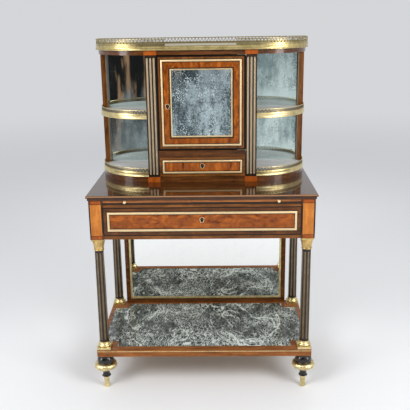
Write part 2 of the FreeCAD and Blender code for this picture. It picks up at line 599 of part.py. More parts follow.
def build_feet():
    foot = turned((0, SABOT_SOLE), (PEG_RADIUS, SABOT_SOLE), (PEG_RADIUS, SABOT_HEIGHT),
                  (FOOT_COLLAR_RADIUS, SABOT_HEIGHT),
                  (FOOT_COLLAR_RADIUS, SABOT_HEIGHT + FOOT_COLLAR_HEIGHT, -HALF_ROUND),
                  (FOOT_STEM_RADIUS, FOOT_RING_BOTTOM - FOOT_SHOULDER_HEIGHT, SHALLOW),
                  (FOOT_RING_SEAT + FOOT_SHOULDER, FOOT_RING_BOTTOM), (FOOT_RING_SEAT, FOOT_RING_BOTTOM),
                  (FOOT_RING_SEAT, FOOT_RING_TOP), (FOOT_HEAD_RADIUS, SHELF_BOTTOM - FOOT_HEAD_RIM, -SHALLOW),
                  (FOOT_HEAD_RADIUS, SHELF_BOTTOM), (TENON_RADIUS, SHELF_BOTTOM),
                  (TENON_RADIUS, SHELF_BOTTOM + SHELF_TENON), (0, SHELF_BOTTOM + SHELF_TENON))
    nodes["feet"] = at_columns(foot)

    seat = FOOT_RING_SEAT + FIT
    rim = FOOT_RING_SEAT + FOOT_RING_FLAT
    rise = (FOOT_RING_RADIUS - rim) / FOOT_RING_HEIGHT
    nodes["foot_rings"] = at_columns(turned((seat, FOOT_RING_BOTTOM), (rim, FOOT_RING_BOTTOM),
                                            (rim, FOOT_RING_TOP, -rise), (seat, FOOT_RING_TOP)))

    bore = PEG_RADIUS + FIT
    sabot = turned((0, 0), (SABOT_SOLE_RADIUS, 0), (SABOT_TOE_RADIUS, SABOT_TOE_HEIGHT, -QUARTER),
                   (SABOT_NECK_RADIUS, SABOT_NECK_HEIGHT), (SABOT_RIM_RADIUS, SABOT_HEIGHT, SHALLOW),
                   (bore, SABOT_HEIGHT), (bore, SABOT_SOLE), (0, SABOT_SOLE))
    nodes["foot_sabots"] = at_columns(sabot)


# Gradin: carcass, niches and top
def build_gradin_carcass():
    plan = d_plan(GRADIN_X, GRADIN_FRONT, NICHE_RADIUS, GRADIN_REAR)
    nodes["gradin_base"] = [plate(TABLE_HEIGHT, PLINTH_TOP, *plan)]
    nodes["cornice"] = [plate(CORNICE_BOTTOM, CORNICE_TOP, *plan)]

    x0, x1 = PILASTER_X - BLOCK_WIDTH / 2, PILASTER_X + BLOCK_WIDTH / 2
    blocks = [box(x0, x1, GRADIN_FRONT - BLOCK_PROUD, GRADIN_FRONT, z0, z1)
              for z0, z1 in ((TABLE_HEIGHT, PLINTH_TOP), (CORNICE_BOTTOM, CORNICE_TOP))]
    nodes["pilaster_blocks"] = both_sides(*blocks)

    side = box(SIDE_INNER, PILASTER_OUTER, PILASTER_BACK, GRADIN_BACK_FACE, PLINTH_TOP, CORNICE_BOTTOM)
    post = box(GRADIN_POST_INNER, GRADIN_POST_OUTER, GRADIN_POST_FRONT, GRADIN_BACK_FACE,
               PLINTH_TOP, CORNICE_BOTTOM)
    back = box(-GRADIN_POST_OUTER, GRADIN_POST_OUTER, GRADIN_BACK_FACE, GRADIN_REAR,
               PLINTH_TOP, CORNICE_BOTTOM)
    nodes["cabinet_sides"] = both_sides(side)
    nodes["gradin_posts"] = both_sides(post)
    nodes["gradin_back"] = [back]


def build_pilasters():
    """Pilasters beside the door. Returns the brass sheets in their flutes."""
    blank = box(PILASTER_INNER, PILASTER_OUTER, GRADIN_FRONT, PILASTER_BACK, PLINTH_TOP, CORNICE_BOTTOM)
    end = FLUTE_END + PILASTER_FLUTE_RADIUS
    lines = []
    for i in range(PILASTER_FLUTES):
        x = PILASTER_X + (i - (PILASTER_FLUTES - 1) / 2) * PILASTER_FLUTE_PITCH
        lines.append((V(x, GRADIN_FRONT, PLINTH_TOP + end), V(x, GRADIN_FRONT, CORNICE_BOTTOM - end)))
    pilaster, liners = fluted(blank, PILASTER_FLUTE_RADIUS, lines)
    nodes["pilasters"] = both_sides(pilaster)
    return both_sides(*liners)


def quarter_slab(radius, rear, z0, z1):
    """A niche's quarter-round shelf, cut round the rear post."""
    return plate(z0, z1, (PILASTER_OUTER, GRADIN_POST_FRONT - radius),
                 (PILASTER_OUTER + radius, GRADIN_POST_FRONT, -QUARTER),
                 (GRADIN_POST_INNER, GRADIN_POST_FRONT), (GRADIN_POST_INNER, rear), (PILASTER_OUTER, rear))


def quarter_strip(radius, wall, start, rear, z0, z1):
    """A strip on edge: straight from x = start, round a niche's quarter circle, and back to y = rear."""
    inner = radius - wall
    outer_x, inner_x = PILASTER_OUTER + radius, PILASTER_OUTER + inner
    outer_y, inner_y = GRADIN_POST_FRONT - radius, GRADIN_POST_FRONT - inner
    points = [(PILASTER_OUTER, outer_y), (outer_x, GRADIN_POST_FRONT, -QUARTER), (outer_x, rear),
              (inner_x, rear), (inner_x, GRADIN_POST_FRONT), (PILASTER_OUTER, inner_y, QUARTER)]
    if start < PILASTER_OUTER:
        points = [(start, outer_y), *points, (start, inner_y)]
    return plate(z0, z1, *points)


def build_niches():
    boards, marbles, bands, galleries, mirrors = [], [], [], [], []
    middle = PLINTH_TOP + NICHE_SHELF_RISE
    slab = NICHE_RADIUS - BAND_WALL - FIT
    rail = NICHE_RADIUS - (BAND_WALL - GALLERY_WALL) / 2
    for floor, ceiling in ((PLINTH_TOP, middle), (middle, CORNICE_BOTTOM)):
        board_top = floor + NICHE_BOARD
        marble_top = board_top + NICHE_MARBLE
        band_top = marble_top + NICHE_BAND_LIP
        gallery_top = band_top + NICHE_GALLERY_HEIGHT
        boards.append(quarter_slab(slab, GRADIN_BACK_FACE, floor, board_top))
        marbles.append(quarter_slab(slab, NICHE_MIRROR_FACE, board_top, marble_top))
        bands.append(quarter_strip(NICHE_RADIUS, BAND_WALL, PILASTER_OUTER, GRADIN_BACK_FACE,
                                   floor, band_top))
        galleries.append(quarter_strip(rail, GALLERY_WALL, PILASTER_OUTER, GRADIN_BACK_FACE,
                                       band_top, gallery_top))
        mirrors.append(box(PILASTER_OUTER, GRADIN_POST_INNER, NICHE_MIRROR_FACE, GRADIN_BACK_FACE,
                           board_top, ceiling))
    nodes["niche_boards"] = both_sides(*boards)
    nodes["niche_marbles"] = both_sides(*marbles)
    nodes["niche_bands"] = both_sides(*bands)
    nodes["niche_galleries"] = both_sides(*galleries)
    nodes["niche_mirrors"] = both_sides(*mirrors)


def build_gradin_top():
    def slab(inset):
        grow = TOP_SLAB_OVERHANG - inset
        plan = d_plan(GRADIN_X + grow, GRADIN_FRONT - grow, NICHE_RADIUS + grow, GRADIN_REAR)
        return plate(CORNICE_TOP, SLAB_TOP, *plan)

    nodes["top_marble"] = [slab(BAND_WALL + FIT)]
    nodes["top_band"] = [slab(0).cut(slab(BAND_WALL))]

    inset = (BAND_WALL - GALLERY_WALL) / 2
    radius = NICHE_RADIUS + TOP_SLAB_OVERHANG - inset
    rear = GRADIN_REAR - inset - GALLERY_WALL
    top = SLAB_TOP + TOP_GALLERY_HEIGHT
    half = PILASTER_OUTER + radius
    start = PILASTER_OUTER - TOP_GALLERY_RETURN
    returns = both_sides(quarter_strip(radius, GALLERY_WALL, start, rear, SLAB_TOP, top))
    nodes["top_gallery"] = [box(-half, half, rear, rear + GALLERY_WALL, SLAB_TOP, top), *returns]


# Gradin: door and small drawer
def hinge_leaf(z0, z1):
    """A pivot hinge's plate at the door's right-hand edge, with an eye in front of the pilaster."""
    y0 = DOOR_FACE + HINGE_LEAF_SETBACK
    x1 = HINGE_X - RUN
    leaf = box(HINGE_X - HINGE_LEAF_LENGTH, x1, y0, y0 + HINGE_LEAF_WIDTH, z0, z1)
    tongue = box(HINGE_X - KNUCKLE_RADIUS, x1, HINGE_Y, y0, z0, z1)
    return leaf.fuse([tongue, rod(KNUCKLE_RADIUS, HINGE_X, HINGE_Y, z0, z1)]).removeSplitter()


def build_hinges():
    door_leaves, frame_leaves = [], []
    for door_edge, frame_edge in ((DOOR_BOTTOM, DIVIDER_TOP), (DOOR_TOP, CORNICE_BOTTOM)):
        outward = 1 if frame_edge > door_edge else -1
        door_span = sorted((door_edge, door_edge + outward * HINGE_LEAF))
        frame_span = sorted((frame_edge, frame_edge - outward * HINGE_LEAF))
        pin_span = sorted((frame_edge, door_edge - outward * PIN_TIP))
        door_leaves.append(hinge_leaf(*door_span).cut(rod(PIN_RADIUS + FIT, HINGE_X, HINGE_Y, *door_span)))
        pin = rod(PIN_RADIUS, HINGE_X, HINGE_Y, *pin_span)
        frame_leaves.append(hinge_leaf(*frame_span).fuse(pin).removeSplitter())
    nodes["door_leaves"] = door_leaves
    nodes["frame_leaves"] = frame_leaves


def build_door():
    key_x = -DOOR_X + DOOR_MEMBER - DOOR_KEY_INSET
    key_z = DOOR_BOTTOM + DOOR_KEY_RISE
    lock_z0, lock_z1 = key_z - LOCK_WIDTH / 2, key_z + LOCK_WIDTH / 2
    lock_x = key_x + LOCK_BACKSET
    lock_face = DOOR_BACK - LOCK_THICKNESS
    recess = box(-DOOR_X, lock_x, lock_face, DOOR_BACK, lock_z0, lock_z1)
    case = box(-DOOR_X, lock_x - FIT, lock_face + FIT, DOOR_BACK, lock_z0 + FIT, lock_z1 - FIT)
    y0 = DOOR_BACK - BOLT_SETBACK
    y1 = y0 + BOLT_THICKNESS
    z0, z1 = key_z - BOLT_WIDTH / 2, key_z + BOLT_WIDTH / 2
    bolt_end = -DOOR_X + BOLT_LENGTH
    channel = box(-DOOR_X, bolt_end + RUN, y0 - RUN, y1 + RUN, z0 - RUN, z1 + RUN)
    cutters = [recess, keyhole(key_x, key_z, DOOR_FACE, DOOR_BACK)]
    members = mitred_frame(-DOOR_X, DOOR_X, DOOR_BOTTOM, DOOR_TOP, DOOR_MEMBER, DOOR_BACK, DOOR_FACE)
    nodes["door_frame"] = [member.cut(cutters) for member in members]
    nodes["door_lock"] = [case.cut(channel)]
    nodes["door_bolt"] = [box(-DOOR_X, bolt_end, y0, y1, z0, z1)]
    nodes["door_escutcheon"] = [escutcheon(key_x, key_z, DOOR_FACE)]


def build_door_panel():
    margin = DOOR_MOULDING_MARGIN
    moulding = mitred_frame(-DOOR_X + margin, DOOR_X - margin, DOOR_BOTTOM + margin, DOOR_TOP - margin,
                            DOOR_MOULDING_WIDTH, DOOR_FACE, DOOR_FACE - MOULDING_PROUD, MOULDING_ROUND)
    x = DOOR_X - DOOR_MEMBER - FIT
    z0, z1 = DOOR_BOTTOM + DOOR_MEMBER + FIT, DOOR_TOP - DOOR_MEMBER - FIT
    bead_face = DOOR_FACE + DOOR_BEAD_SETBACK
    glass_face = bead_face + BEAD_DEPTH
    glass_back = glass_face + GLASS
    bead = mitred_frame(-x, x, z0, z1, DOOR_BEAD_WIDTH, glass_face, bead_face, BEAD_ROUND)
    nodes["door_mouldings"] = [*moulding, *bead]
    nodes["door_mirror"] = [box(-x, x, glass_face, glass_back, z0, z1)]
    nodes["door_panel"] = [box(-x, x, glass_back, DOOR_BACK, z0, z1)]


def build_small_drawer():
    z0, z1 = PLINTH_TOP + GAP, DIVIDER_BOTTOM - GAP
    key_z = z1 - SMALL_KEY_DROP
    case, bolt, recess = drawer_lock(SMALL_FRONT_BACK, z1, SMALL_KEY_DROP)
    front = box(-DOOR_X, DOOR_X, DOOR_FACE, SMALL_FRONT_BACK, z0, z1)
    nodes["small_drawer_front"] = [front.cut([recess, keyhole(0, key_z, DOOR_FACE, SMALL_FRONT_BACK)])]
    nodes["small_drawer_box"] = drawer_box(SMALL_BOX_X, SMALL_FRONT_BACK, GRADIN_BACK_FACE - SMALL_REAR_GAP,
                                           PLINTH_TOP + RUN, z1 - DRAWER_SIDE_DROP, SMALL_WALL,
                                           SMALL_BOTTOM, SMALL_BOTTOM_LIFT)
    margin = SMALL_MOULDING_MARGIN
    x = DOOR_X - margin
    nodes["small_drawer_moulding"] = mitred_frame(-x, x, z0 + margin, z1 - margin, SMALL_MOULDING_WIDTH,
                                                  DOOR_FACE, DOOR_FACE - MOULDING_PROUD, MOULDING_ROUND)
    nodes["small_drawer_escutcheon"] = [escutcheon(0, key_z, DOOR_FACE)]
    nodes["small_drawer_lock"] = [case]
    nodes["small_drawer_bolt"] = [bolt]


def build_divider():
    """The rail between the small drawer and the door, and the cabinet floor behind it."""
    rail = box(-PILASTER_INNER, PILASTER_INNER, DOOR_FACE, DIVIDER_RAIL_BACK, DIVIDER_BOTTOM, DIVIDER_TOP)
    z0 = DIVIDER_TOP - DIVIDER_BOARD
    front = max(PILASTER_BACK, DIVIDER_RAIL_BACK)
    tongue = box(-PILASTER_INNER, PILASTER_INNER, DIVIDER_RAIL_BACK, GRADIN_BACK_FACE, z0, DIVIDER_TOP)
    floor = box(-SIDE_INNER, SIDE_INNER, front, GRADIN_BACK_FACE, z0, DIVIDER_TOP)
    nodes["cabinet_divider"] = [rail, floor.fuse(tongue).removeSplitter()]


build_table_top()
build_frieze()
build_runners()
build_writing_slide()
build_drawer()
column_liners = build_columns()
build_shelf()
build_back_mirror()
build_feet()
build_gradin_carcass()
nodes["flute_liners"] = column_liners + build_pilasters()
build_niches()
build_gradin_top()
build_hinges()
build_door()
build_door_panel()
build_small_drawer()
build_divider()

os.makedirs("parts", exist_ok=True)
for name, solids in nodes.items():
    Part.makeCompound(solids).exportStep(os.path.join("parts", name + ".step"))
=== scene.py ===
"""Looks of the bonheur du jour: finishes, brass galleries and mounts, studio and camera."""
import logging
import math
from dataclasses import dataclass, replace
from enum import Enum
from typing import Callable, Sequence, Union

import bmesh
import bpy
import numpy as np
from mathutils import Matrix, Vector


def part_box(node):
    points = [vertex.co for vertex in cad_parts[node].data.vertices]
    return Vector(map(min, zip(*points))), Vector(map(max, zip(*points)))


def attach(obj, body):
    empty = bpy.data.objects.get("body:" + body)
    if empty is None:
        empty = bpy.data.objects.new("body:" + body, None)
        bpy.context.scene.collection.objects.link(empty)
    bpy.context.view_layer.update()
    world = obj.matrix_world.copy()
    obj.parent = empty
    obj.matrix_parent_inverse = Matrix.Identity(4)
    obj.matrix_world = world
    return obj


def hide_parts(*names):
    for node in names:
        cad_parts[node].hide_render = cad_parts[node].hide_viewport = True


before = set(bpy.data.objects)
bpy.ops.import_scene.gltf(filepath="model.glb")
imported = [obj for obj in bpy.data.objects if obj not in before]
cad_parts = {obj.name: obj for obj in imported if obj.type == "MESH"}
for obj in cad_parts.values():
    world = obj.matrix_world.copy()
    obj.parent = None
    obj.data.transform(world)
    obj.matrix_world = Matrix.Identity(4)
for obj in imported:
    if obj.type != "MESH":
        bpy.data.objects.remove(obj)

log = logging.getLogger("bonheur_du_jour")

Colour = tuple[float, float, float]
UP = np.array((0.0, 0.0, 1.0))
FORWARD = np.array((0.0, -1.0, 0.0))
RIGHT = np.array((1.0, 0.0, 0.0))
SAME_POINT = 1e-7
SHARP_TURN = math.radians(38.0)


class Grain(Enum):
    """The axis that a piece of wood is cut along."""

    X = 0
    Y = 1
    Z = 2


class Slot(Enum):
    """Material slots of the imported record."""

    BRASS = "brass"
    VENEER = "figured_veneer"


def joining(operation: str, swapped: bool = False) -> Callable[["Wire", "Number"], "Wire"]:
    """A method that joins a wire to another value.

    Args:
        operation: name of the maths operation.
        swapped: puts the other value first, for an operator's reflected form.

    Returns:
        The method.
    """

    def joined(wire: "Wire", other: "Number") -> "Wire":
        """The two values joined by the operation."""
        return wire.shader.calc(operation, *((other, wire) if swapped else (wire, other)))

    return joined


class Wire:
    """An output socket that takes part in sums, so that shader maths reads as plain expressions."""

    __add__, __radd__ = joining("ADD"), joining("ADD", True)
    __sub__, __rsub__ = joining("SUBTRACT"), joining("SUBTRACT", True)
    __mul__, __rmul__ = joining("MULTIPLY"), joining("MULTIPLY", True)
    __truediv__, __rtruediv__ = joining("DIVIDE"), joining("DIVIDE", True)
    at_least = joining("MAXIMUM")
    at_most = joining("MINIMUM")

    def __init__(self, shader: "Shader", socket: bpy.types.NodeSocket) -> None:
        """Keeps the socket and the shader that it belongs to."""
        self.shader = shader
        self.socket = socket

    def size(self) -> "Wire":
        """This without its sign."""
        return self.shader.calc("ABSOLUTE", self)

    def rise(self, low: float, high: float) -> "Wire":
        """Zero up to the low value and one from the high value on, with a smooth rise between them."""
        return self.shader.node("MapRange", {0: self, 1: low, 2: high}, interpolation_type="SMOOTHSTEP")

    def line(self, centre: float, half: float) -> "Wire":
        """One on a line about a centre value and zero beyond its half width, with soft edges."""
        return 1.0 - (self - centre).size().rise(half * 0.7, half * 1.2)


Number = Union[float, Wire]


@dataclass(frozen=True)
class Rectangle:
    """A rectangle on a face, by the two axes that it lies in, its middle and its half sizes."""

    axes: tuple[int, int]
    middle: tuple[float, float]
    half: tuple[float, float]

    @staticmethod
    def within(node: str, inset: float, axes: tuple[int, int] = (0, 2)) -> "Rectangle":
        """The outline of a CAD node, drawn in.

        Args:
            node: name of the CAD node.
            inset: how far the rectangle lies inside the node's box.
            axes: the two axes of the face.

        Returns:
            The rectangle.
        """
        low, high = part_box(node)
        middle = tuple((low[axis] + high[axis]) / 2 for axis in axes)
        half = tuple((high[axis] - low[axis]) / 2 - inset for axis in axes)
        return Rectangle(axes, middle, half)

    def path(self, level: float, inset: float = 0.0) -> np.ndarray:
        """The four corners in order, on the plane at a level of the third axis.

        Args:
            level: where the plane stands.
            inset: how far the corners are drawn in.

        Returns:
            Corner points, four by three.
        """
        first, second = self.axes
        points = np.full((4, 3), level)
        points[:, first] = self.middle[0] + (self.half[0] - inset) * np.array((-1, 1, 1, -1))
        points[:, second] = self.middle[1] + (self.half[1] - inset) * np.array((-1, -1, 1, 1))
        return points


class Shader:
    """Builds the node tree of one material."""

    def __init__(self, name: str, world: Union[bpy.types.World, None] = None) -> None:
        """Starts an empty material, or empties a world's tree.

        Args:
            name: name of the material.
            world: the world, if the tree is a world's.
        """
        self.material = world or bpy.data.materials.new(name)
        self.material.use_nodes = True
        self.tree = self.material.node_tree
        self.tree.nodes.clear()
        self.place = self.node("TexCoord", out="Object")
        split = self.node("SeparateXYZ", {0: self.place}).socket.node
        self.axes = [Wire(self, socket) for socket in split.outputs]

    def node(self, kind: str, inputs: Union[dict, None] = None, out: Union[int, str] = 0,
             **settings: object) -> Wire:
        """Any node: its settings are set first, then its sockets.

        Args:
            kind: node type without its ShaderNode prefix.
            inputs: value or wire of each socket, by name or number.
            out: name or number of the output that is handed back.
            settings: properties of the node.

        Returns:
            The output as a wire.
        """
        made = self.tree.nodes.new("ShaderNode" + kind)
        for name, value in settings.items():
            setattr(made, name, value)
        for key, value in (inputs or {}).items():
            if isinstance(value, Wire):
                self.tree.links.new(value.socket, made.inputs[key])
            elif made.inputs[key].type == "RGBA" and len(value) == 3:
                made.inputs[key].default_value = (*value, 1.0)
            else:
                made.inputs[key].default_value = value
        return Wire(self, made.outputs[out])

    def calc(self, operation: str, *values: Number) -> Wire:
        """One maths node: Vector Math if a value is a vector, plain Math otherwise.

        Args:
            operation: name of the operation.
            values: numbers, vectors or wires.

        Returns:
            The result.
        """
        if any(isinstance(value, Wire) and value.socket.type in ("VECTOR", "RGBA") for value in values):
            spread = [value if isinstance(value, (Wire, tuple)) else (value,) * 3 for value in values]
            return self.node("VectorMath", dict(enumerate(spread)), operation=operation)
        return self.node("Math", dict(enumerate(values)), operation=operation)

    def mix(self, share: Number, first: Union[Colour, Wire], second: Union[Colour, Wire]) -> Wire:
        """The first colour with a share of the second laid over it."""
        return self.node("Mix", {0: share, 6: first, 7: second}, out=2, data_type="RGBA")

    def blend(self, tone: Wire, *stops: tuple[float, Colour]) -> Wire:
        """Colours in order along a tone.

        Args:
            tone: the value that picks the colour.
            stops: tone and colour of each step, in rising order.

        Returns:
            The colour.
        """
        colour = stops[0][1]
        for (low, _), (high, after) in zip(stops, stops[1:]):
            colour = self.mix(tone.rise(low, high), colour, after)
        return colour

    def stretched(self, stretch: Colour, shift: float) -> Wire:
        """The place on the piece, scaled along each axis and moved."""
        return self.node("Mapping", {"Vector": self.place, "Scale": stretch, "Location": (shift,) * 3})

    def noise(self, scale: float, detail: float = 3.0, rough: float = 0.55, warp: float = 0.0,
              stretch: Colour = (1.0, 1.0, 1.0), shift: float = 0.0) -> Wire:
        """Cloudy noise about one half.

        Args:
            scale: features per metre.
            detail: octaves.
            rough: weight of the finer octaves.
            warp: how far the noise bends itself.
            stretch: factor of the scale along each axis.
            shift: offset, so that two noises differ.

        Returns:
            The noise value.
        """
        place = self.stretched(stretch, shift)
        return self.node("TexNoise", {"Vector": place, "Scale": scale, "Detail": detail, "Roughness": rough,
                                      "Distortion": warp})

    def cells(self, scale: float, feature: str = "F1", bend: float = 0.0, shift: float = 0.0,
              stretch: Colour = (1.0, 1.0, 1.0)) -> Wire:
        """Distance in random cells, in cell sizes.

        Args:
            scale: cells per metre.
            feature: distance to the nearest middle, or to the nearest edge.
            bend: how far a noise of about the cells' size pushes them about, in cell sizes.
            shift: offset, so that two patterns differ.
            stretch: factor of the scale along each axis.

        Returns:
            The distance.
        """
        place = self.stretched(stretch, shift)
        if bend:
            push = self.node("TexNoise", {"Vector": place, "Scale": scale * 0.7, "Detail": 3.0}, out="Color")
            place = place + (push - 0.5) * (bend / scale)
        return self.node("TexVoronoi", {"Vector": place, "Scale": scale}, out="Distance", feature=feature)

    def beyond(self, shape: Rectangle) -> Wire:
        """How far a point lies outside a rectangle; below zero inside it.

        Args:
            shape: the rectangle.

        Returns:
            The distance.
        """
        first, second = (self.axes[axis] for axis in shape.axes)
        across = (first - shape.middle[0]).size() - shape.half[0]
        return across.at_least((second - shape.middle[1]).size() - shape.half[1])

    def surface(self, colour: Union[Colour, Wire], roughness: Number, height: Union[Wire, None] = None,
                depth: float = 0.0, **more: Number) -> bpy.types.Material:
        """Ends the tree in a Principled surface.

        Args:
            colour: base colour.
            roughness: roughness of the base.
            height: relief of the fine texture, if it has one.
            depth: how deep that relief is, in metres.
            more: other sockets, spaces written as underscores.

        Returns:
            The finished material.
        """
        sockets = {name.replace("_", " "): value for name, value in more.items()}
        sockets.update({"Base Color": colour, "Roughness": roughness})
        if height is not None:
            sockets["Normal"] = self.node("Bump", {"Height": height, "Distance": depth, "Strength": 1.0})
        return self.end(self.node("BsdfPrincipled", sockets))

    def end(self, shaded: Wire, output: str = "OutputMaterial") -> bpy.types.Material:
        """Links a shader to the tree's output.

        Args:
            shaded: the shader.
            output: type of the output node, without its ShaderNode prefix.

        Returns:
            The finished material or world.
        """
        last = self.tree.nodes.new("ShaderNode" + output)
        self.tree.links.new(shaded.socket, last.inputs["Surface"])
        return self.material


@dataclass(frozen=True)
class Wood:
    """Polished wood, from its dark streaks to its light ones."""

    name: str
    dark: Colour
    light: Colour
    grain: Grain = Grain.X
    figure: float = 0.35
    cloud: float = 26.0
    polish: float = 0.7
    roughness: float = 0.3
    streaks: float = 95.0
    run: float = 0.09
    haze: float = 0.05
    pores: float = 900.0
    pore_depth: float = 0.00006
    sheen: float = 0.08

    def along(self, grain: Grain) -> "Wood":
        """The same wood cut along another axis."""
        return replace(self, name=f"{self.name}_{grain.name.lower()}", grain=grain)

    def colour(self, shader: Shader) -> tuple[Wire, Wire]:
        """Streaks long with the grain and a cloudy figure across them, with fine dark pores.

        Args:
            shader: where the nodes go.

        Returns:
            The colour, and the pores for the relief.
        """
        stretch = tuple(self.run if axis == self.grain.value else 1.0 for axis in range(3))
        streak = shader.noise(self.streaks, detail=4.0, rough=0.6, warp=0.4, stretch=stretch)
        pores = shader.noise(self.pores, detail=2.0, rough=0.5, stretch=stretch, shift=3.0)
        blunt = tuple(0.55 + 0.45 * part for part in stretch)
        figure = shader.noise(self.cloud, detail=4.0, rough=0.6, warp=1.6, stretch=blunt, shift=7.0)
        tone = streak * (1.0 - self.figure) + figure * self.figure
        middle = tuple(0.55 * a + 0.45 * b for a, b in zip(self.dark, self.light))
        body = shader.blend(tone, (0.36, self.dark), (0.48, middle), (0.62, self.light))
        pore = tuple(0.5 * part for part in self.dark)
        return shader.mix(pores.rise(0.58, 0.75) * 0.45, body, pore), pores

    def material(self) -> bpy.types.Material:
        """The wood as a material.

        Returns:
            The finished material.
        """
        shader = Shader(self.name)
        colour, pores = self.colour(shader)
        return self.finished(shader, colour, pores)

    def finished(self, shader: Shader, colour: Wire, pores: Wire) -> bpy.types.Material:
        """Lays the polish over a colour.

        Args:
            shader: where the nodes go.
            colour: colour of the wood.
            pores: fine relief.

        Returns:
            The finished material.
        """
        return shader.surface(colour, self.roughness + pores * 0.12, pores, self.pore_depth,
                              Coat_Weight=self.polish, Coat_Roughness=self.haze,
                              Specular_IOR_Level=self.sheen)


@dataclass(frozen=True)
class Inlaid:
    """A front veneered in two woods, with black strings at set distances from the field's edge."""

    name: str
    border: Wood
    field: Wood
    panel: Rectangle
    strings: tuple[float, ...]
    string_half: float = 0.0015
    ebony: Colour = (0.010, 0.007, 0.005)
    seam: float = 0.0004

    def material(self) -> bpy.types.Material:
        """The inlaid front as a material.

        Returns:
            The finished material.
        """
        shader = Shader(self.name)
        outer, pores = self.border.colour(shader)
        inner, _ = self.field.colour(shader)
        beyond = shader.beyond(self.panel)
        colour = shader.mix(beyond.rise(-self.seam, self.seam), inner, outer)
        for distance in self.strings:
            colour = shader.mix(beyond.line(distance, self.string_half), colour, self.ebony)
        return self.border.finished(shader, colour, pores)


@dataclass(frozen=True)
class Brass:
    """Gilt brass with a patina that gathers in clouds."""

    name: str
    bright: Colour = (0.80, 0.69, 0.42)
    dull: Colour = (0.40, 0.33, 0.17)
    wear: float = 0.7
    roughness: float = 0.24
    metal: float = 1.0
    relief: float = 0.00003

    def colour(self, shader: Shader) -> tuple[Wire, Wire]:
        """Clouds of patina over bright metal.

        Args:
            shader: where the nodes go.

        Returns:
            The colour and the clouds.
        """
        cloud = shader.noise(42.0, detail=5.0, rough=0.65, warp=0.5)
        speck = shader.noise(420.0, detail=2.0, rough=0.5, shift=5.0)
        patina = (cloud.rise(0.38, 0.66) * 0.75 + speck.rise(0.55, 0.7) * 0.25) * self.wear
        return shader.mix(patina, self.bright, self.dull), cloud

    def material(self) -> bpy.types.Material:
        """The brass as a material."""
        shader = Shader(self.name)
        return self.finished(shader, *self.colour(shader))

    def finished(self, shader: Shader, colour: Wire, cloud: Wire) -> bpy.types.Material:
        """Metal of a colour, a little duller and rougher where the patina lies.

        Args:
            shader: where the nodes go.
            colour: colour of the metal.
            cloud: clouds of the patina.

        Returns:
            The finished material.
        """
        dents = shader.noise(160.0, detail=3.0)
        return shader.surface(colour, self.roughness + cloud * 0.16, dents, self.relief, Metallic=self.metal)


@dataclass(frozen=True)
class Banded:
    """Wood or brass with bands of another colour between set heights."""

    name: str
    base: Union[Wood, Brass]
    bands: tuple[tuple[float, float], ...]
    # Near-black bands: ebony stringing on the posts; on the rails and the slide, painted shade of the gaps.
    band: Colour = (0.014, 0.010, 0.007)

    def material(self) -> bpy.types.Material:
        """The banded finish as a material.

        Returns:
            The finished material.
        """
        shader = Shader(self.name)
        colour, relief = self.base.colour(shader)
        for low, high in self.bands:
            inside = shader.axes[2].line((low + high) / 2, (high - low) / 2)
            colour = shader.mix(inside, colour, self.band)
        return self.base.finished(shader, colour, relief)


@dataclass(frozen=True)
class TwoBrasses:
    """Brass of one tone below a height and of another above it."""

    name: str
    lower: Brass
    upper: Brass
    level: float
    fade: float = 0.01

    def material(self) -> bpy.types.Material:
        """The two tones as one material.

        Returns:
            The finished material.
        """
        shader = Shader(self.name)
        low, cloud = self.lower.colour(shader)
        high, _ = self.upper.colour(shader)
        above = shader.axes[2].rise(self.level - self.fade, self.level + self.fade)
        return self.lower.finished(shader, shader.mix(above, low, high), cloud)


@dataclass(frozen=True)
class Marble:
    """Polished marble: clouds on a ground, crossed by fine veins."""

    name: str
    ground: Colour
    cloud: Colour
    vein: Colour
    mass: float
    long: float
    fine: float
    veins: float
    stretch: Colour = (1.0, 1.0, 1.0)
    roughness: float = 0.10
    crackle: float = 0.0
    rim: float = 0.0
    gloss: float = 0.4
    gallery_shade_tone: Colour = (0.07, 0.065, 0.05)

    def material(self) -> bpy.types.Material:
        """Clouds from one noise; veins where two others pass one half, broken up by a fourth; fine crackle.

        The crackle runs along the edges of bent cells of two sizes, each in patches of its own. Inside a
        gallery the stone is darkened along the rounded plan's rim: painted shade behind the gallery.

        Returns:
            The finished material.
        """
        shader = Shader(self.name)
        mass = shader.noise(self.mass, detail=9.0, rough=0.7, warp=0.6, stretch=self.stretch)
        fold = shader.noise(self.long, detail=5.0, rough=0.6, warp=1.0, stretch=self.stretch, shift=11.0)
        fold = (fold - 0.5).size()
        short = shader.noise(self.fine, detail=5.0, rough=0.66, warp=0.8, stretch=self.stretch, shift=23.0)
        short = (short - 0.5).size()
        broken = shader.noise(self.fine * 0.35, detail=4.0, rough=0.6, shift=31.0)
        colour = shader.mix(mass.rise(0.38, 0.66), self.ground, self.cloud)
        thread = (1.0 - fold.rise(0.0, 0.016)) * broken.rise(0.3, 0.55)
        thread = thread + (1.0 - short.rise(0.0, 0.022)) * broken.rise(0.40, 0.60)
        for size, wide, shift in ((1.0, 0.055, 2.0), (2.1, 0.075, 8.0)) if self.crackle else ():
            edge = shader.cells(self.crackle * size, "DISTANCE_TO_EDGE", bend=2.0, shift=shift,
                                stretch=self.stretch)
            patch = shader.noise(self.crackle * 0.13, detail=6.0, rough=0.66, warp=0.8, stretch=self.stretch,
                                 shift=shift)
            thread = thread + (1.0 - edge.rise(0.0, wide)) * patch.rise(0.44, 0.60)
        colour = shader.mix((thread * self.veins).at_most(1.0), colour, self.vein)
        # Painted shade: the stone is darkened just behind a gallery's rim.
        if self.rim:
            across = (shader.axes[0].size() - RoundedPlan.centre_x).at_least(0.0)
            ahead = (shader.axes[1] - RoundedPlan.centre_y).at_most(0.0)
            reach = shader.calc("SQRT", across * across + ahead * ahead)
            painted_shade = reach.rise(self.rim - 0.020, self.rim - 0.004) * 0.5
            colour = shader.mix(painted_shade, colour, self.gallery_shade_tone)
        return shader.surface(colour, self.roughness + mass * 0.08, Specular_IOR_Level=self.gloss)


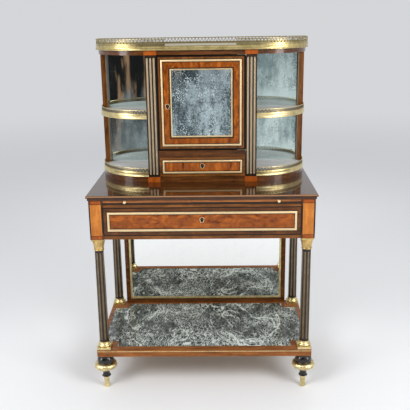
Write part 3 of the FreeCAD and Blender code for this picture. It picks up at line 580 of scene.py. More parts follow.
@dataclass(frozen=True)
class AgedMirror:
    """Silvered glass; with age its silver goes grey in patches and breaks out in pale and dark specks."""

    name: str
    silver: Colour
    grey: Colour
    speck: Colour
    patches: float
    pale: float
    black: float
    outer: float = 0.0
    frayed: float = 0.03
    clear_above: float = 9.0
    clear_feet: tuple[float, ...] = ()
    bare: Colour = (0.03, 0.04, 0.045)

    def material(self) -> bpy.types.Material:
        """Patches come from broad noise; specks are dots in bent cells, larger where a middle noise is high.

        Dark specks come from fine noise, and crowd along the outer edges where those are frayed. Above a
        height the glass has kept more of its silver, most of all on the left; so it has at the panes' feet.

        Returns:
            The finished material.
        """
        shader = Shader(self.name)
        high = shader.axes[2].rise(self.clear_above - 0.03, self.clear_above)
        stained = 1.0 - high * (0.0 - shader.axes[0]).rise(-0.1, 0.1) * 0.85
        for foot in self.clear_feet:
            over = shader.axes[2] - foot
            stained = stained * (1.0 - over.rise(-0.005, 0.0) * (1.0 - over.rise(0.045, 0.085)) * 0.8)
        patch = shader.noise(13.0, detail=8.0, rough=0.7, warp=0.2, stretch=(1.6, 1.0, 0.5))
        patch = patch.rise(0.40, 0.62) * self.patches * stained
        gather = (shader.noise(26.0, detail=5.0, rough=0.65, shift=17.0) - 0.5) * 0.9
        pale = 1.0 - (shader.cells(250.0, bend=1.1) - gather).rise(0.20, 0.44)
        pale = pale * self.pale * stained * (1.0 - high * 0.8)
        worn = shader.noise(210.0, detail=5.0, rough=0.75, shift=9.0) - gather * 0.5
        if self.outer:
            worn = worn + shader.axes[0].size().rise(self.outer - self.frayed, self.outer) * 0.13
        black = worn.rise(0.53, 0.63) * self.black * stained
        colour = shader.mix(patch, self.silver, self.grey)
        colour = shader.mix(pale, colour, self.speck)
        colour = shader.mix(black, colour, self.bare)
        spoiled = (pale + black * 0.6).at_most(1.0)
        roughness = 0.015 + patch * 0.08 + spoiled * 0.3
        return shader.surface(colour, roughness, Metallic=1.0 - spoiled * 0.5)


@dataclass(frozen=True)
class Tooled:
    """Leather with two gilt lines pressed in along its edge."""

    name: str
    panel: Rectangle
    hide: Colour = (0.018, 0.05, 0.028)
    gilt: Colour = (0.62, 0.44, 0.16)

    def material(self) -> bpy.types.Material:
        """The leather as a material.

        Returns:
            The finished material.
        """
        shader = Shader(self.name)
        grain = shader.noise(700.0, detail=4.0, rough=0.6)
        worn = shader.noise(14.0, detail=4.0)
        hide = shader.mix(worn.rise(0.4, 0.7) * 0.5, self.hide, tuple(2.2 * part for part in self.hide))
        beyond = shader.beyond(self.panel)
        lines = (beyond.line(0.0, 0.0008) + beyond.line(-0.005, 0.002)).at_most(1.0)
        return shader.surface(shader.mix(lines, hide, self.gilt), 0.55 - lines * 0.25, grain, 0.0002)


@dataclass(frozen=True)
class Steel:
    """Filed steel."""

    name: str = "filed_steel"
    dark: Colour = (0.36, 0.35, 0.33)
    light: Colour = (0.56, 0.55, 0.53)

    def material(self) -> bpy.types.Material:
        """The steel as a material.

        Returns:
            The finished material.
        """
        shader = Shader(self.name)
        cloud = shader.noise(180.0, detail=4.0, rough=0.6, stretch=(0.2, 1.0, 1.0))
        return shader.surface(shader.mix(cloud, self.dark, self.light), 0.28 + cloud * 0.2, Metallic=1.0)


Finish = Union[Wood, Inlaid, Banded, Brass, TwoBrasses, Marble, AgedMirror, Tooled, Steel]

MAHOGANY = Wood("mahogany", (0.036, 0.011, 0.0022), (0.148, 0.048, 0.0095), polish=0.4)
GLOSSY_MAHOGANY = replace(MAHOGANY, name="glossy_mahogany", polish=0.9, haze=0.15)
# Lighter copy of the mahogany: painted light on the rails, the door, the small drawer and the rear posts.
LIT_MAHOGANY = Wood("rail_mahogany", (0.075, 0.024, 0.004), (0.25, 0.088, 0.018), polish=0.3)
WARM_MAHOGANY = Wood("warm_mahogany", (0.14, 0.042, 0.008), (0.35, 0.122, 0.028), polish=0.3)
# Lighter copy of the mahogany for the slide: painted light, as the top's overhang shades it.
LIT_SLIDE_MAHOGANY = Wood("slide_mahogany", (0.17, 0.052, 0.012), (0.44, 0.155, 0.042), polish=0.3)
POLISHED_TOP = Wood("polished_top", (0.022, 0.007, 0.0012), (0.085, 0.027, 0.005), polish=0.8, roughness=0.18)
FIGURED = Wood("figured", (0.12, 0.022, 0.001), (0.41, 0.105, 0.009), figure=0.7, cloud=34.0, polish=0.3)
FLAME = Wood("flame", (0.10, 0.017, 0.001), (0.54, 0.142, 0.015), Grain.Z, polish=0.3, streaks=70.0)
BRIGHT_VENEER = Wood("bright_veneer", (0.37, 0.107, 0.013), (0.62, 0.220, 0.038), Grain.Z, 0.5, 20.0, 0.3)
RED_VENEER = Wood("red_veneer", (0.22, 0.040, 0.003), (0.43, 0.103, 0.013), Grain.Z, 0.5, polish=0.3)
DARK_SHAFT = Wood("dark_shaft", (0.010, 0.006, 0.004), (0.035, 0.020, 0.012), Grain.Z, polish=0.5)
EBONISED = Wood("ebonised", (0.005, 0.004, 0.004), (0.012, 0.010, 0.009), polish=0.9, roughness=0.2)
OAK = Wood("oak", (0.22, 0.13, 0.06), (0.42, 0.28, 0.15), polish=0.0, roughness=0.55, streaks=130.0, run=0.03)
BRASS = Brass("gilt_brass", (0.84, 0.70, 0.37), (0.32, 0.25, 0.10))
# Darker copy of the gilt brass for the top band: painted shade.
SHADED_TOP_BRASS = Brass("top_brass", (0.68, 0.55, 0.25), (0.26, 0.19, 0.07))
GALLERY_BRASS = Brass("gallery_brass", (0.46, 0.38, 0.19), (0.15, 0.115, 0.05))
WARM_BRASS = Brass("warm_brass", (0.70, 0.49, 0.19), (0.26, 0.16, 0.05))
PALE_BRASS = Brass("pale_brass", (0.85, 0.64, 0.36), (0.54, 0.38, 0.18), 0.25, 0.28, 0.55)
# Near-black plate under the raised keyhole rims: painted shade of the keyhole's recess.
KEYHOLE_SHADE_PLATE = Brass("keyhole_shade_plate", (0.035, 0.022, 0.012), (0.012, 0.009, 0.006), 0.8, 0.4)
# Dark dull brass: on the column flutes it is the shaded copy of the flute lining, painted shade.
FLUTE_BRASS = Brass("flute_brass", (0.28, 0.22, 0.14), (0.12, 0.09, 0.055), 0.6, 0.34, relief=0.000002)
# Lighter copy of the flute brass for the pilaster flutes: painted light.
LIT_FLUTE_BRASS = Brass("lit_flute_brass", (0.45, 0.37, 0.26), (0.34, 0.27, 0.19), 0.3)
DARK_MARBLE = Marble("dark_marble", (0.022, 0.027, 0.025), (0.115, 0.130, 0.118), (0.76, 0.83, 0.78), 90.0,
                     5.0, 26.0, 0.95, (1.0, 0.5, 1.0), crackle=62.0)
WHITE_MARBLE = Marble("white_marble", (0.74, 0.74, 0.72), (0.93, 0.93, 0.91), (0.40, 0.41, 0.41), 14.0, 5.0,
                      16.0, 0.4, (0.7, 1.6, 1.0), 0.3, rim=0.190)
# Darker, cream copy of the white marble for the top: painted shade.
SHADED_TOP_MARBLE = replace(WHITE_MARBLE, name="top_marble", ground=(0.38, 0.35, 0.26), cloud=(0.52, 0.48, 0.37),
                     roughness=0.5, rim=0.198, gloss=0.04)
CLEAR_MIRROR = AgedMirror("clear_mirror", (0.88, 0.89, 0.87), (0.74, 0.76, 0.75), (0.9, 0.9, 0.88),
                          0.06, 0.0, 0.04)
NICHE_MIRROR = AgedMirror("niche_mirror", (0.76, 0.90, 0.89), (0.24, 0.34, 0.35), (0.70, 0.80, 0.79),
                          0.75, 0.45, 0.5, 0.366, clear_above=1.01, clear_feet=(0.786, 1.0))
DOOR_MIRROR = AgedMirror("door_mirror", (0.76, 0.92, 0.97), (0.10, 0.15, 0.17), (0.80, 0.93, 0.95),
                         0.95, 0.8, 0.8)

made_materials: dict[Finish, bpy.types.Material] = {}


def material_of(finish: Finish) -> bpy.types.Material:
    """The material of a finish, made once and then shared."""
    if finish not in made_materials:
        made_materials[finish] = finish.material()
    return made_materials[finish]


def dress(finish: Finish, names: str) -> None:
    """Gives CAD nodes a finish.

    Args:
        finish: the finish.
        names: node names with spaces between them.
    """
    for name in names.split():
        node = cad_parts[name]
        node.data.materials.clear()
        node.data.materials.append(material_of(finish))
        log.info("dressed %s in %s", name, finish.name)


@dataclass
class Shape:
    """Points and faces of a piece before it becomes an object."""

    points: np.ndarray
    faces: list[list[int]]

    def __add__(self, other: "Shape") -> "Shape":
        """Both shapes as one.

        Args:
            other: the shape whose points and faces follow this one's.

        Returns:
            The joined shape.
        """
        shift = len(self.points)
        moved = [[index + shift for index in face] for face in other.faces]
        return Shape(np.concatenate((self.points, other.points)), self.faces + moved)

    def copies(self, places: np.ndarray) -> "Shape":
        """The shape set down at each of some places.

        Args:
            places: offsets, n by three.

        Returns:
            All the copies as one shape.
        """
        count = len(self.points)
        points = (self.points[None] + places[:, None]).reshape(-1, 3)
        steps = range(0, count * len(places), count)
        return Shape(points, [[index + step for index in face] for step in steps for face in self.faces])

    def mirrored(self) -> "Shape":
        """The shape and its mirror image across the middle of the piece."""
        return self + Shape(self.points * (-1.0, 1.0, 1.0), [face[::-1] for face in self.faces])

    def piece(self, name: str, finish: Finish, slot: Slot = Slot.BRASS, body: str = "carcass",
              stands_for: str = "") -> None:
        """Makes the object, joins coincident points, turns its faces outward and hands it to its body.

        Args:
            name: name of the new piece.
            finish: its finish.
            slot: its material slot; not used.
            body: the body that it rides on.
            stands_for: CAD nodes that it takes the place of, with spaces between them.
        """
        mesh = bpy.data.meshes.new(name)
        mesh.from_pydata(self.points.tolist(), [], self.faces)
        work = bmesh.new()
        work.from_mesh(mesh)
        bmesh.ops.remove_doubles(work, verts=work.verts, dist=SAME_POINT)
        bmesh.ops.recalc_face_normals(work, faces=work.faces)
        work.to_mesh(mesh)
        work.free()
        mesh.polygons.foreach_set("use_smooth", np.ones(len(mesh.polygons), bool))
        mesh.set_sharp_from_angle(angle=SHARP_TURN)
        mesh.materials.append(material_of(finish))
        thing = bpy.data.objects.new(name, mesh)
        bpy.context.scene.collection.objects.link(thing)
        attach(thing, body)
        for node in stands_for.split():
            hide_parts(node)
        log.info("piece %s on %s: %d faces", name, body, len(mesh.polygons))


def grid_faces(rows: int, columns: int, round_rows: bool, round_columns: bool = True) -> list[list[int]]:
    """Quads of a grid of points, row after row.

    Args:
        rows: number of rows.
        columns: number of points in a row.
        round_rows: joins the last row to the first.
        round_columns: joins the last point of a row to its first.

    Returns:
        Point numbers of each quad.
    """
    row, column = np.meshgrid(np.arange(rows - (not round_rows)), np.arange(columns - (not round_columns)),
                              indexing="ij")
    below, beside = (row + 1) % rows, (column + 1) % columns
    corners = [across * columns + along for across, along in
               ((row, column), (below, column), (below, beside), (row, beside))]
    return np.stack(corners, axis=-1).reshape(-1, 4).tolist()


def end_faces(rows: int, columns: int) -> list[list[int]]:
    """Flat faces over the first and the last row of a grid of points."""
    return [list(range(columns)), list(range((rows - 1) * columns, rows * columns))]


def sweep(path: np.ndarray, facing: np.ndarray, profile: np.ndarray, closed: bool) -> Shape:
    """A closed profile carried along a flat path with mitred turns.

    Each point is the path's point, plus the profile's first value along the mitre (the sum of the two edge
    normals over one plus their dot product), plus its second value along the facing direction.

    Args:
        path: points of the path, n by three.
        facing: direction that the path's plane faces.
        profile: points of the profile, across (to the left of the way) and out, p by two.
        closed: whether the path comes back to its start.

    Returns:
        The swept shape, capped at open ends.
    """
    ahead = np.roll(path, -1, 0) - path
    if not closed:
        ahead[-1] = ahead[-2]
    ahead = ahead / np.linalg.norm(ahead, axis=1, keepdims=True)
    behind = np.roll(ahead, 1, 0)
    if not closed:
        behind[0] = ahead[0]
    left, left_before = np.cross(facing, ahead), np.cross(facing, behind)
    mitre = (left + left_before) / (1.0 + (left * left_before).sum(1))[:, None]
    points = path[:, None] + mitre[:, None] * profile[None, :, :1] + facing * profile[None, :, 1:]
    rows, columns = len(path), len(profile)
    faces = grid_faces(rows, columns, closed)
    if not closed:
        faces += end_faces(rows, columns)
    return Shape(points.reshape(-1, 3), faces)


def turned(radius: Callable[[np.ndarray, np.ndarray], np.ndarray], rows: np.ndarray, steps: int,
           height: Callable[[np.ndarray], np.ndarray]) -> Shape:
    """A turned shape whose radius may change round it, closed by flat ends.

    Each point stands at its radius from the axis, at its angle and at the height of its row.

    Args:
        radius: radius by row value and angle.
        rows: row values, from one end to the other.
        steps: points round a row.
        height: height by row value.

    Returns:
        The shape about the z axis.
    """
    row, angle = np.meshgrid(rows, np.linspace(0, 2 * np.pi, steps, endpoint=False), indexing="ij")
    reach = radius(row, angle)
    points = np.stack((reach * np.cos(angle), reach * np.sin(angle), height(row)), axis=-1)
    faces = grid_faces(len(rows), steps, False) + end_faces(len(rows), steps)
    return Shape(points.reshape(-1, 3), faces)


def boxes(lows: np.ndarray, highs: np.ndarray) -> Shape:
    """Plain blocks by their lowest and highest corners.

    Args:
        lows: lowest corners, n by three.
        highs: highest corners, n by three.

    Returns:
        All the blocks as one shape.
    """
    pick = np.array([[x, y, z] for z in (0, 1) for x, y in ((0, 0), (1, 0), (1, 1), (0, 1))])
    points = lows[:, None] + (highs - lows)[:, None] * pick[None]
    sides = [[i, (i + 1) % 4, 4 + (i + 1) % 4, 4 + i] for i in range(4)]
    block = np.array([[3, 2, 1, 0], [4, 5, 6, 7]] + sides)
    faces = block[None] + len(pick) * np.arange(len(lows))[:, None, None]
    return Shape(points.reshape(-1, 3), faces.reshape(-1, 4).tolist())


def oval(across: float, out: float, middle: tuple[float, float], points: int = 12) -> np.ndarray:
    """Profile of a rounded bar.

    Args:
        across: half width.
        out: half height.
        middle: its middle, across and out.
        points: points round it.

    Returns:
        The profile, points by two.
    """
    angle = np.linspace(0, 2 * np.pi, points, endpoint=False)
    return np.stack((middle[0] + across * np.cos(angle), middle[1] + out * np.sin(angle)), axis=-1)


def framing(width: float, proud: float, sink: float = 0.0004) -> np.ndarray:
    """Profile of a framing strip: a rounded back between two small steps.

    The height over the width is a step at each edge and a round between them.

    Args:
        width: width of the strip, to the left of its path.
        proud: height of its round.
        sink: depth that it is let into the ground.

    Returns:
        The profile, across and out.
    """
    angle = np.linspace(np.pi, 0, 11)
    across = width * (0.5 + 0.36 * np.cos(angle))
    out = proud * (0.35 + 0.65 * np.sin(angle))
    edge = [(0.0, -sink), (0.0, proud * 0.35)]
    return np.array(edge + list(zip(across, out)) + [(width, proud * 0.35), (width, -sink)])


def front_frame(panel: Rectangle, level: float, width: float, proud: float) -> Shape:
    """A framing strip on a front, carried round a rectangle with its inner edge on it.

    Args:
        panel: the rectangle that it frames.
        level: where the front's face lies.
        width: width of the strip.
        proud: how far it stands out.

    Returns:
        The strip.
    """
    return sweep(panel.path(level, -width), FORWARD, framing(width, proud), True)


def strings_beside(strip: float, gap: float) -> tuple[float, float]:
    """Where black strings lie beside a framing strip, from its inner edge outward: ebony stringing, wide
    enough to carry the strip's painted shade as well.
    """
    return -gap, strip + gap


@dataclass(frozen=True)
class Keyhole:
    """The raised rim of an escutcheon, round its disc and down its flaring tail."""

    radius: float = 0.0073
    tail: float = 0.0054
    turn_in: float = math.radians(50.0)
    rim: float = 0.0009

    def piece(self, body: str, node: str) -> None:
        """Makes the rim on the face of an escutcheon.

        The path is a round that ends where the tail's straight sides begin; a flat oval is carried along it.

        Args:
            body: the body that the escutcheon rides on.
            node: the escutcheon.
        """
        low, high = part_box(node)
        turn = np.linspace(-self.turn_in, np.pi + self.turn_in, 25)
        foot = low.z + self.rim
        x = (low.x + high.x) / 2 + np.concatenate(((self.tail,), self.radius * np.cos(turn), (-self.tail,)))
        z = np.concatenate(((foot,), high.z - self.rim + self.radius * (np.sin(turn) - 1), (foot,)))
        path = np.column_stack((x, np.full(len(x), low.y), z))
        rim = sweep(path, FORWARD, oval(self.rim, self.rim * 0.8, (0.0, 0.0), 8), True)
        rim.piece(f"{body}_keyhole_rim", PALE_BRASS, body=body)


@dataclass(frozen=True)
class RoundedPlan:
    """Plan of the upper stage: a straight front, quarter rounds at the corners, short runs to the rear."""

    centre_x: float = 0.199
    centre_y: float = 0.1645
    steps: int = 28

    def quarter(self, radius: float, rear: float) -> np.ndarray:
        """Right-hand quarter round from the front to the rear, in plan.

        Args:
            radius: radius of the round.
            rear: where the straight run behind the round ends.

        Returns:
            Points, n by two.
        """
        angle = np.linspace(-np.pi / 2, 0, self.steps)
        x = self.centre_x + radius * np.cos(angle)
        y = self.centre_y + radius * np.sin(angle)
        return np.stack((np.append(x, x[-1]), np.append(y, rear)), axis=-1)

    def whole(self, radius: float, rear: float) -> np.ndarray:
        """From the rear on the left, round the front, to the rear on the right."""
        right = self.quarter(radius, rear)
        return np.concatenate((right[::-1] * (-1.0, 1.0), right))

    def open_front(self, radius: float, rear: float, start: float) -> np.ndarray:
        """From the front on the right, round the rear, to the front on the left.

        Args:
            radius: radius of the rounds.
            rear: where the rear run lies.
            start: distance of the front ends from the middle.

        Returns:
            Points, n by two.
        """
        right = self.quarter(radius, rear)
        right = np.concatenate(([[start, right[0, 1]]], right))
        return np.concatenate((right, right[::-1] * (-1.0, 1.0)))


def at_level(plan: np.ndarray, level: float) -> np.ndarray:
    """A plan as points in space at one height."""
    return np.column_stack((plan, np.full(len(plan), level)))


@dataclass(frozen=True)
class Gallery:
    """A pierced brass gallery: a foot rail, a rounded head rail and a zigzag between them."""

    height: float
    pitch: float
    bar: float
    wall: float = 0.0018
    foot: float = 0.0022
    head: float = 0.0030
    sunk: float = 0.3
    nudge: float = 0.0005

    def bars(self, level: float) -> tuple[float, float]:
        """Lowest and highest level of the open zigzag of a gallery that stands on a level."""
        return level + self.foot, level + self.height - self.head

    def shape(self, plan: np.ndarray, level: float) -> Shape:
        """The gallery along a plan.

        Args:
            plan: middle line of its wall, n by two.
            level: height that it stands on.

        Returns:
            The gallery.
        """
        path = at_level(plan, level)
        half = self.wall / 2
        foot = np.array(((-half, 0), (half, 0), (half, self.foot), (-half, self.foot)))
        head = oval(half * 1.5, self.head / 2, (0.0, self.height - self.head / 2))
        rails = sweep(path, UP, foot, False) + sweep(path, UP, head, False)
        return rails + self.zigzag(plan, level)

    def zigzag(self, plan: np.ndarray, level: float) -> Shape:
        """A strip that runs up and down in turn between the rails.

        The plan is walked in half pitches; every other knot is high. At each knot the strip's section stands
        upright, as tall as the bar and a little thinner than the rails; it is sunk by a share into each rail.

        Args:
            plan: middle line of the wall, n by two.
            level: height that the gallery stands on.

        Returns:
            The strip.
        """
        walked = np.append(0.0, np.cumsum(np.linalg.norm(np.diff(plan, axis=0), axis=1)))
        count = 2 * round(walked[-1] / self.pitch)
        knots = np.linspace(0.0, walked[-1], count + 1)

        def on_plan(distance: np.ndarray) -> np.ndarray:
            """Points of the plan at walked distances."""
            return np.stack([np.interp(distance, walked, plan[:, axis]) for axis in (0, 1)], axis=-1)

        way = on_plan(knots + self.nudge) - on_plan(knots - self.nudge)
        side = np.stack((-way[:, 1], way[:, 0]), axis=-1) / np.linalg.norm(way, axis=1, keepdims=True)
        low = level + self.foot * self.sunk + self.bar / 2
        high = level + self.height - self.head * self.sunk - self.bar / 2
        rise = np.where(np.arange(count + 1) % 2 == 0, low, high)
        section = np.array(((-0.4, -0.5), (0.4, -0.5), (0.4, 0.5), (-0.4, 0.5))) * (self.wall, self.bar)
        flat = on_plan(knots)[:, None] + side[:, None] * section[None, :, :1]
        points = np.concatenate((flat, (rise[:, None] + section[None, :, 1])[..., None]), axis=-1)
        faces = grid_faces(count + 1, len(section), False) + end_faces(count + 1, len(section))
        return Shape(points.reshape(-1, 3), faces)


@dataclass(frozen=True)
class Band:
    """A moulded brass band: a bead along its foot, a hollow above it and a plain lip."""

    height: float
    wall: float = 0.003
    proud: float = 0.0012
    bead: float = 0.0024

    def profile(self) -> np.ndarray:
        """Section of the band; the bead is a half circle and the hollow a quarter one.

        Returns:
            Its points, outward of the band's face and upward.
        """
        turn = np.linspace(-np.pi / 2, np.pi / 2, 9)
        out = self.proud * 0.4 + self.bead * 0.8 * np.cos(turn)
        bead = np.stack((out, self.bead * (1 + np.sin(turn))), axis=-1)
        lip = self.height * 0.82
        foot = self.bead * 2 + 0.0008
        turn = np.linspace(0, np.pi / 2, 9)
        hollow = np.stack((self.proud * (1 - np.cos(turn)), foot + (lip - foot) * np.sin(turn)), axis=-1)
        closing = [(self.proud, self.height), (-self.wall, self.height), (-self.wall, 0.0)]
        return np.concatenate((bead, hollow, closing))

    def shape(self, plan: np.ndarray, level: float, leftward: bool) -> Shape:
        """The band along a plan.

        Args:
            plan: line of its face, n by two.
            level: height of its foot.
            leftward: whether outward lies to the left of the way.

        Returns:
            The band.
        """
        across = self.profile() * ((1.0 if leftward else -1.0), 1.0)
        return sweep(at_level(plan, level), UP, across, False)


@dataclass(frozen=True)
class Gradin:
    """The upper stage: niches with marble, bands and galleries, the top, its posts and pilasters."""

    niche_radius: float = 0.192
    niche_rear: float = 0.1885
    niche_levels: tuple[float, float] = (0.769, 0.983)
    niche_band: Band = Band(0.0175)
    niche_gallery: Gallery = Gallery(0.016, 0.0130, 0.0056, head=0.0026)
    niche_gallery_radius: float = 0.1905
    top_radius: float = 0.200
    top_rear: float = 0.197
    top_level: float = 1.226
    top_band: Band = Band(0.016)
    top_gallery: Gallery = Gallery(0.023, 0.0128, 0.0048, foot=0.0070, head=0.0034)
    top_gallery_radius: float = 0.1985
    top_gallery_start: float = 0.125
    opening_shade_tone: Colour = (0.18, 0.14, 0.06)
    post_inner: float = 0.366
    fillet_width: float = 0.004
    fillet_proud: float = 0.0012

    def build(self) -> None:
        """Makes bands, galleries and fillets, and dresses the stage."""
        self.bands()
        self.galleries()
        self.fillets()
        self.dress()

    def bands(self) -> None:
        """Moulded bands round the niches and the top."""
        plan = RoundedPlan()
        quarter = plan.quarter(self.niche_radius, self.niche_rear)
        lower, upper = (self.niche_band.shape(quarter, level, False) for level in self.niche_levels)
        (lower + upper).mirrored().piece("moulded_niche_bands", BRASS, stands_for="niche_bands")
        whole = plan.whole(self.top_radius, self.top_rear)
        top = self.top_band.shape(whole, self.top_level, False)
        top.piece("moulded_top_band", SHADED_TOP_BRASS, stands_for="top_band")

    def galleries(self) -> None:
        """Pierced galleries in the niches and on the top."""
        plan = RoundedPlan()
        quarter = plan.quarter(self.niche_gallery_radius, self.niche_rear)
        rise = self.niche_band.height
        levels = tuple(level + rise for level in self.niche_levels)
        lower, upper = (self.niche_gallery.shape(quarter, level) for level in levels)
        bars = tuple(self.niche_gallery.bars(level) for level in levels)
        # Painted shade: the zigzag between the rails is darkened, as the openings there lie in shade.
        brass = Banded("brass_with_painted_opening_shade", BRASS, bars, self.opening_shade_tone)
        (lower + upper).mirrored().piece("pierced_niche_galleries", brass, stands_for="niche_galleries")
        around = plan.open_front(self.top_gallery_radius, self.top_rear, self.top_gallery_start)
        top = self.top_gallery.shape(around, self.top_level + self.top_band.height)
        top.piece("pierced_top_gallery", GALLERY_BRASS, stands_for="top_gallery")

    def fillets(self) -> None:
        """Brass fillets on the inner edges of the rear posts."""
        low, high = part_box("gradin_posts")
        inner = self.post_inner
        lows = np.array(((inner, low.y - self.fillet_proud, low.z),))
        highs = np.array(((inner + self.fillet_width, low.y, high.z),))
        boxes(lows, highs).mirrored().piece("post_fillets", FLUTE_BRASS)

    def dress(self) -> None:
        """Finishes of the stage's CAD nodes."""
        dress(GLOSSY_MAHOGANY, "gradin_base cornice")
        dress(MAHOGANY, "niche_boards cabinet_divider")
        dress(MAHOGANY.along(Grain.Z), "cabinet_sides")
        dress(LIT_MAHOGANY.along(Grain.Z), "gradin_posts")
        dress(DARK_SHAFT, "pilasters")
        dress(RED_VENEER, "pilaster_blocks")
        dress(OAK, "gradin_back")
        dress(WHITE_MARBLE, "niche_marbles")
        dress(SHADED_TOP_MARBLE, "top_marble")
        dress(NICHE_MIRROR, "niche_mirrors")
        dress(BRASS, "niche_bands niche_galleries top_band top_gallery")
        dress(FLUTE_BRASS, "frame_leaves")


@dataclass(frozen=True)
class Cabinet:
    """The door and the small drawer in the middle of the upper stage."""

    door_inset: float = 0.020
    door_opening: float = 0.024
    glass_strip: float = 0.006
    small_inset: float = 0.009
    strip: float = 0.0068
    proud: float = 0.003
    string_gap: float = 0.0014
    glass_string: float = 0.0012
    edge_strings: tuple[float, float] = (0.0032, 0.0010)

    def build(self) -> None:
        """Makes the framing strips of the door and the small drawer, and dresses both."""
        door = Rectangle.within("door_frame", self.door_inset)
        small = Rectangle.within("small_drawer_moulding", self.small_inset)
        self.strips(door, small)
        self.dress(door, small)

    def strips(self, door: Rectangle, small: Rectangle) -> None:
        """Rounded brass strips: round the door's veneer, round its mirror and on the small drawer.

        Args:
            door: the veneer's outer edge on the door.
            small: the veneer's outer edge on the small drawer.
        """
        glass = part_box("door_mirror")[0].y
        outer = front_frame(door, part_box("door_frame")[0].y, self.strip, self.proud)
        inner = front_frame(Rectangle.within("door_mirror", self.glass_strip), glass, self.glass_strip,
                            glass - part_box("door_frame")[0].y - self.proud)
        (outer + inner).piece("door_strips", PALE_BRASS, body="door", stands_for="door_mouldings")
        front = front_frame(small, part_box("small_drawer_front")[0].y, self.strip, self.proud)
        front.piece("small_drawer_strip", PALE_BRASS, body="small_drawer", stands_for="small_drawer_moulding")
        Keyhole().piece("door", "door_escutcheon")
        Keyhole().piece("small_drawer", "small_drawer_escutcheon")

    def dress(self, door: Rectangle, small: Rectangle) -> None:
        """Finishes of the cabinet's CAD nodes.

        Args:
            door: the veneer's outer edge on the door.
            small: the veneer's outer edge on the small drawer.
        """
        strings = strings_beside(self.strip, self.string_gap)
        edges = (self.glass_string - self.door_opening, *(self.door_inset - gap for gap in self.edge_strings))
        upright = LIT_MAHOGANY.along(Grain.Z)
        dress(Inlaid("inlaid_door", upright, FIGURED.along(Grain.Z), door, strings + edges), "door_frame")
        dress(Inlaid("inlaid_small_drawer", LIT_MAHOGANY, FLAME, small, strings), "small_drawer_front")
        dress(PALE_BRASS, "small_drawer_moulding door_mouldings")
        dress(KEYHOLE_SHADE_PLATE, "small_drawer_escutcheon door_escutcheon")
        dress(FLUTE_BRASS, "door_leaves")
        dress(DOOR_MIRROR, "door_mirror")
        dress(OAK, "door_panel small_drawer_box")
        dress(Steel(), "door_lock door_bolt small_drawer_lock small_drawer_bolt")


@dataclass(frozen=True)
class Frieze:
    """The table top, the frieze with its posts, the writing slide and the wide drawer."""

    drawer_inset: float = 0.0105
    strip: float = 0.0076
    string_gap: float = 0.0014
    side_strip: float = 0.0105
    side_inset: float = 0.0105
    side_proud: float = 0.003
    tablet_edge: float = 0.006
    tablet_gap: float = 0.0022
    tablet_proud: float = 0.0009
    # Width of the dark bands along the rails' and slide's edges: painted shade of the gaps between parts.
    gap_shade_width: float = 0.0042
    post: float = 0.048
    # Heights and colour of a lighter band on the top's edge: painted highlight on the rounded arris.
    arris_highlight: tuple[float, float] = (0.7452, 0.7492)
    arris_highlight_tone: Colour = (0.34, 0.17, 0.075)
    leather_margin: float = 0.014

    def build(self) -> None:
        """Makes the framing strips and the post tablets, and dresses the frieze."""
        self.strips()
        self.tablets()
        self.dress()

    def strips(self) -> None:
        """Brass framing strips on the drawer and, like it, on the two side rails."""
        drawer = Rectangle.within("drawer_moulding", self.drawer_inset)
        front = front_frame(drawer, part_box("drawer_front")[0].y, self.strip, self.side_proud)
        front.piece("drawer_strip", PALE_BRASS, body="drawer", stands_for="drawer_moulding")
        Keyhole().piece("drawer", "drawer_escutcheon")
        panel = Rectangle.within("side_rails", self.side_inset, (1, 2))
        profile = framing(self.side_strip, self.side_proud)
        shape = sweep(panel.path(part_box("side_rails")[1].x), RIGHT, profile, True)
        shape.mirrored().piece("side_mouldings", PALE_BRASS)

    def tablets(self) -> None:
        """Small veneer tablets above and below the long panel on the shown faces of each post."""
        low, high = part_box("corner_posts")
        panel_low, panel_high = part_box("post_panels")
        post, edge, gap, proud = self.post, self.tablet_edge, self.tablet_gap, self.tablet_proud
        spans = ((low.z + gap, panel_low.z - gap), (panel_high.z + gap, high.z - gap))
        lows, highs = [], []
        for bottom, top in spans:
            lows.append((high.x - post + edge, low.y - proud, bottom))
            highs.append((high.x - edge, low.y, top))
            for start in (low.y, high.y - post):
                lows.append((high.x, start + edge, bottom))
                highs.append((high.x + proud, start + post - edge, top))
        boxes(np.array(lows), np.array(highs)).mirrored().piece("post_tablets", RED_VENEER, Slot.VENEER)

    def dress(self) -> None:
        """Finishes of the frieze's CAD nodes."""
        panel_low, panel_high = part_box("post_panels")
        drawer = Rectangle.within("drawer_moulding", self.drawer_inset)
        strings = strings_beside(self.strip, self.string_gap)
        edge = self.gap_shade_width
        slide_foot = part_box("writing_slide")[0].z
        drawer_low, drawer_high = (corner.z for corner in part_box("drawer_front"))
        tops = (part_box("front_rails")[1].z, drawer_high + edge, drawer_low)
        gap_shade_lines = tuple((top - edge, top) for top in tops)
        # Painted highlight: a lighter band along the top's rounded edge.
        dress(Banded("top_with_painted_arris_highlight", POLISHED_TOP, (self.arris_highlight,), self.arris_highlight_tone), "table_top")
        # Painted shade: dark bands along the rails' and slide's edges, where the gaps between them lie in
        # shade.
        dress(Banded("rails_with_painted_gap_shade", LIT_MAHOGANY, gap_shade_lines), "front_rails")
        dress(Banded("slide_with_painted_gap_shade", LIT_SLIDE_MAHOGANY, ((slide_foot, slide_foot + edge),)), "writing_slide")
        dress(MAHOGANY.along(Grain.Y), "side_rails")
        dress(Banded("banded_posts", MAHOGANY.along(Grain.Z), ((panel_low.z, panel_high.z),)), "corner_posts")
        dress(BRIGHT_VENEER, "post_panels")
        dress(Inlaid("inlaid_drawer", MAHOGANY, FIGURED, drawer, strings), "drawer_front")
        dress(PALE_BRASS, "drawer_moulding slide_knobs")
        dress(KEYHOLE_SHADE_PLATE, "drawer_escutcheon")
        leather = Rectangle.within("slide_leather", self.leather_margin, (0, 1))
        dress(Tooled("tooled_leather", leather), "slide_leather")
        dress(OAK, "back_rail drawer_runners drawer_box")
        dress(Steel(), "drawer_lock drawer_bolt")


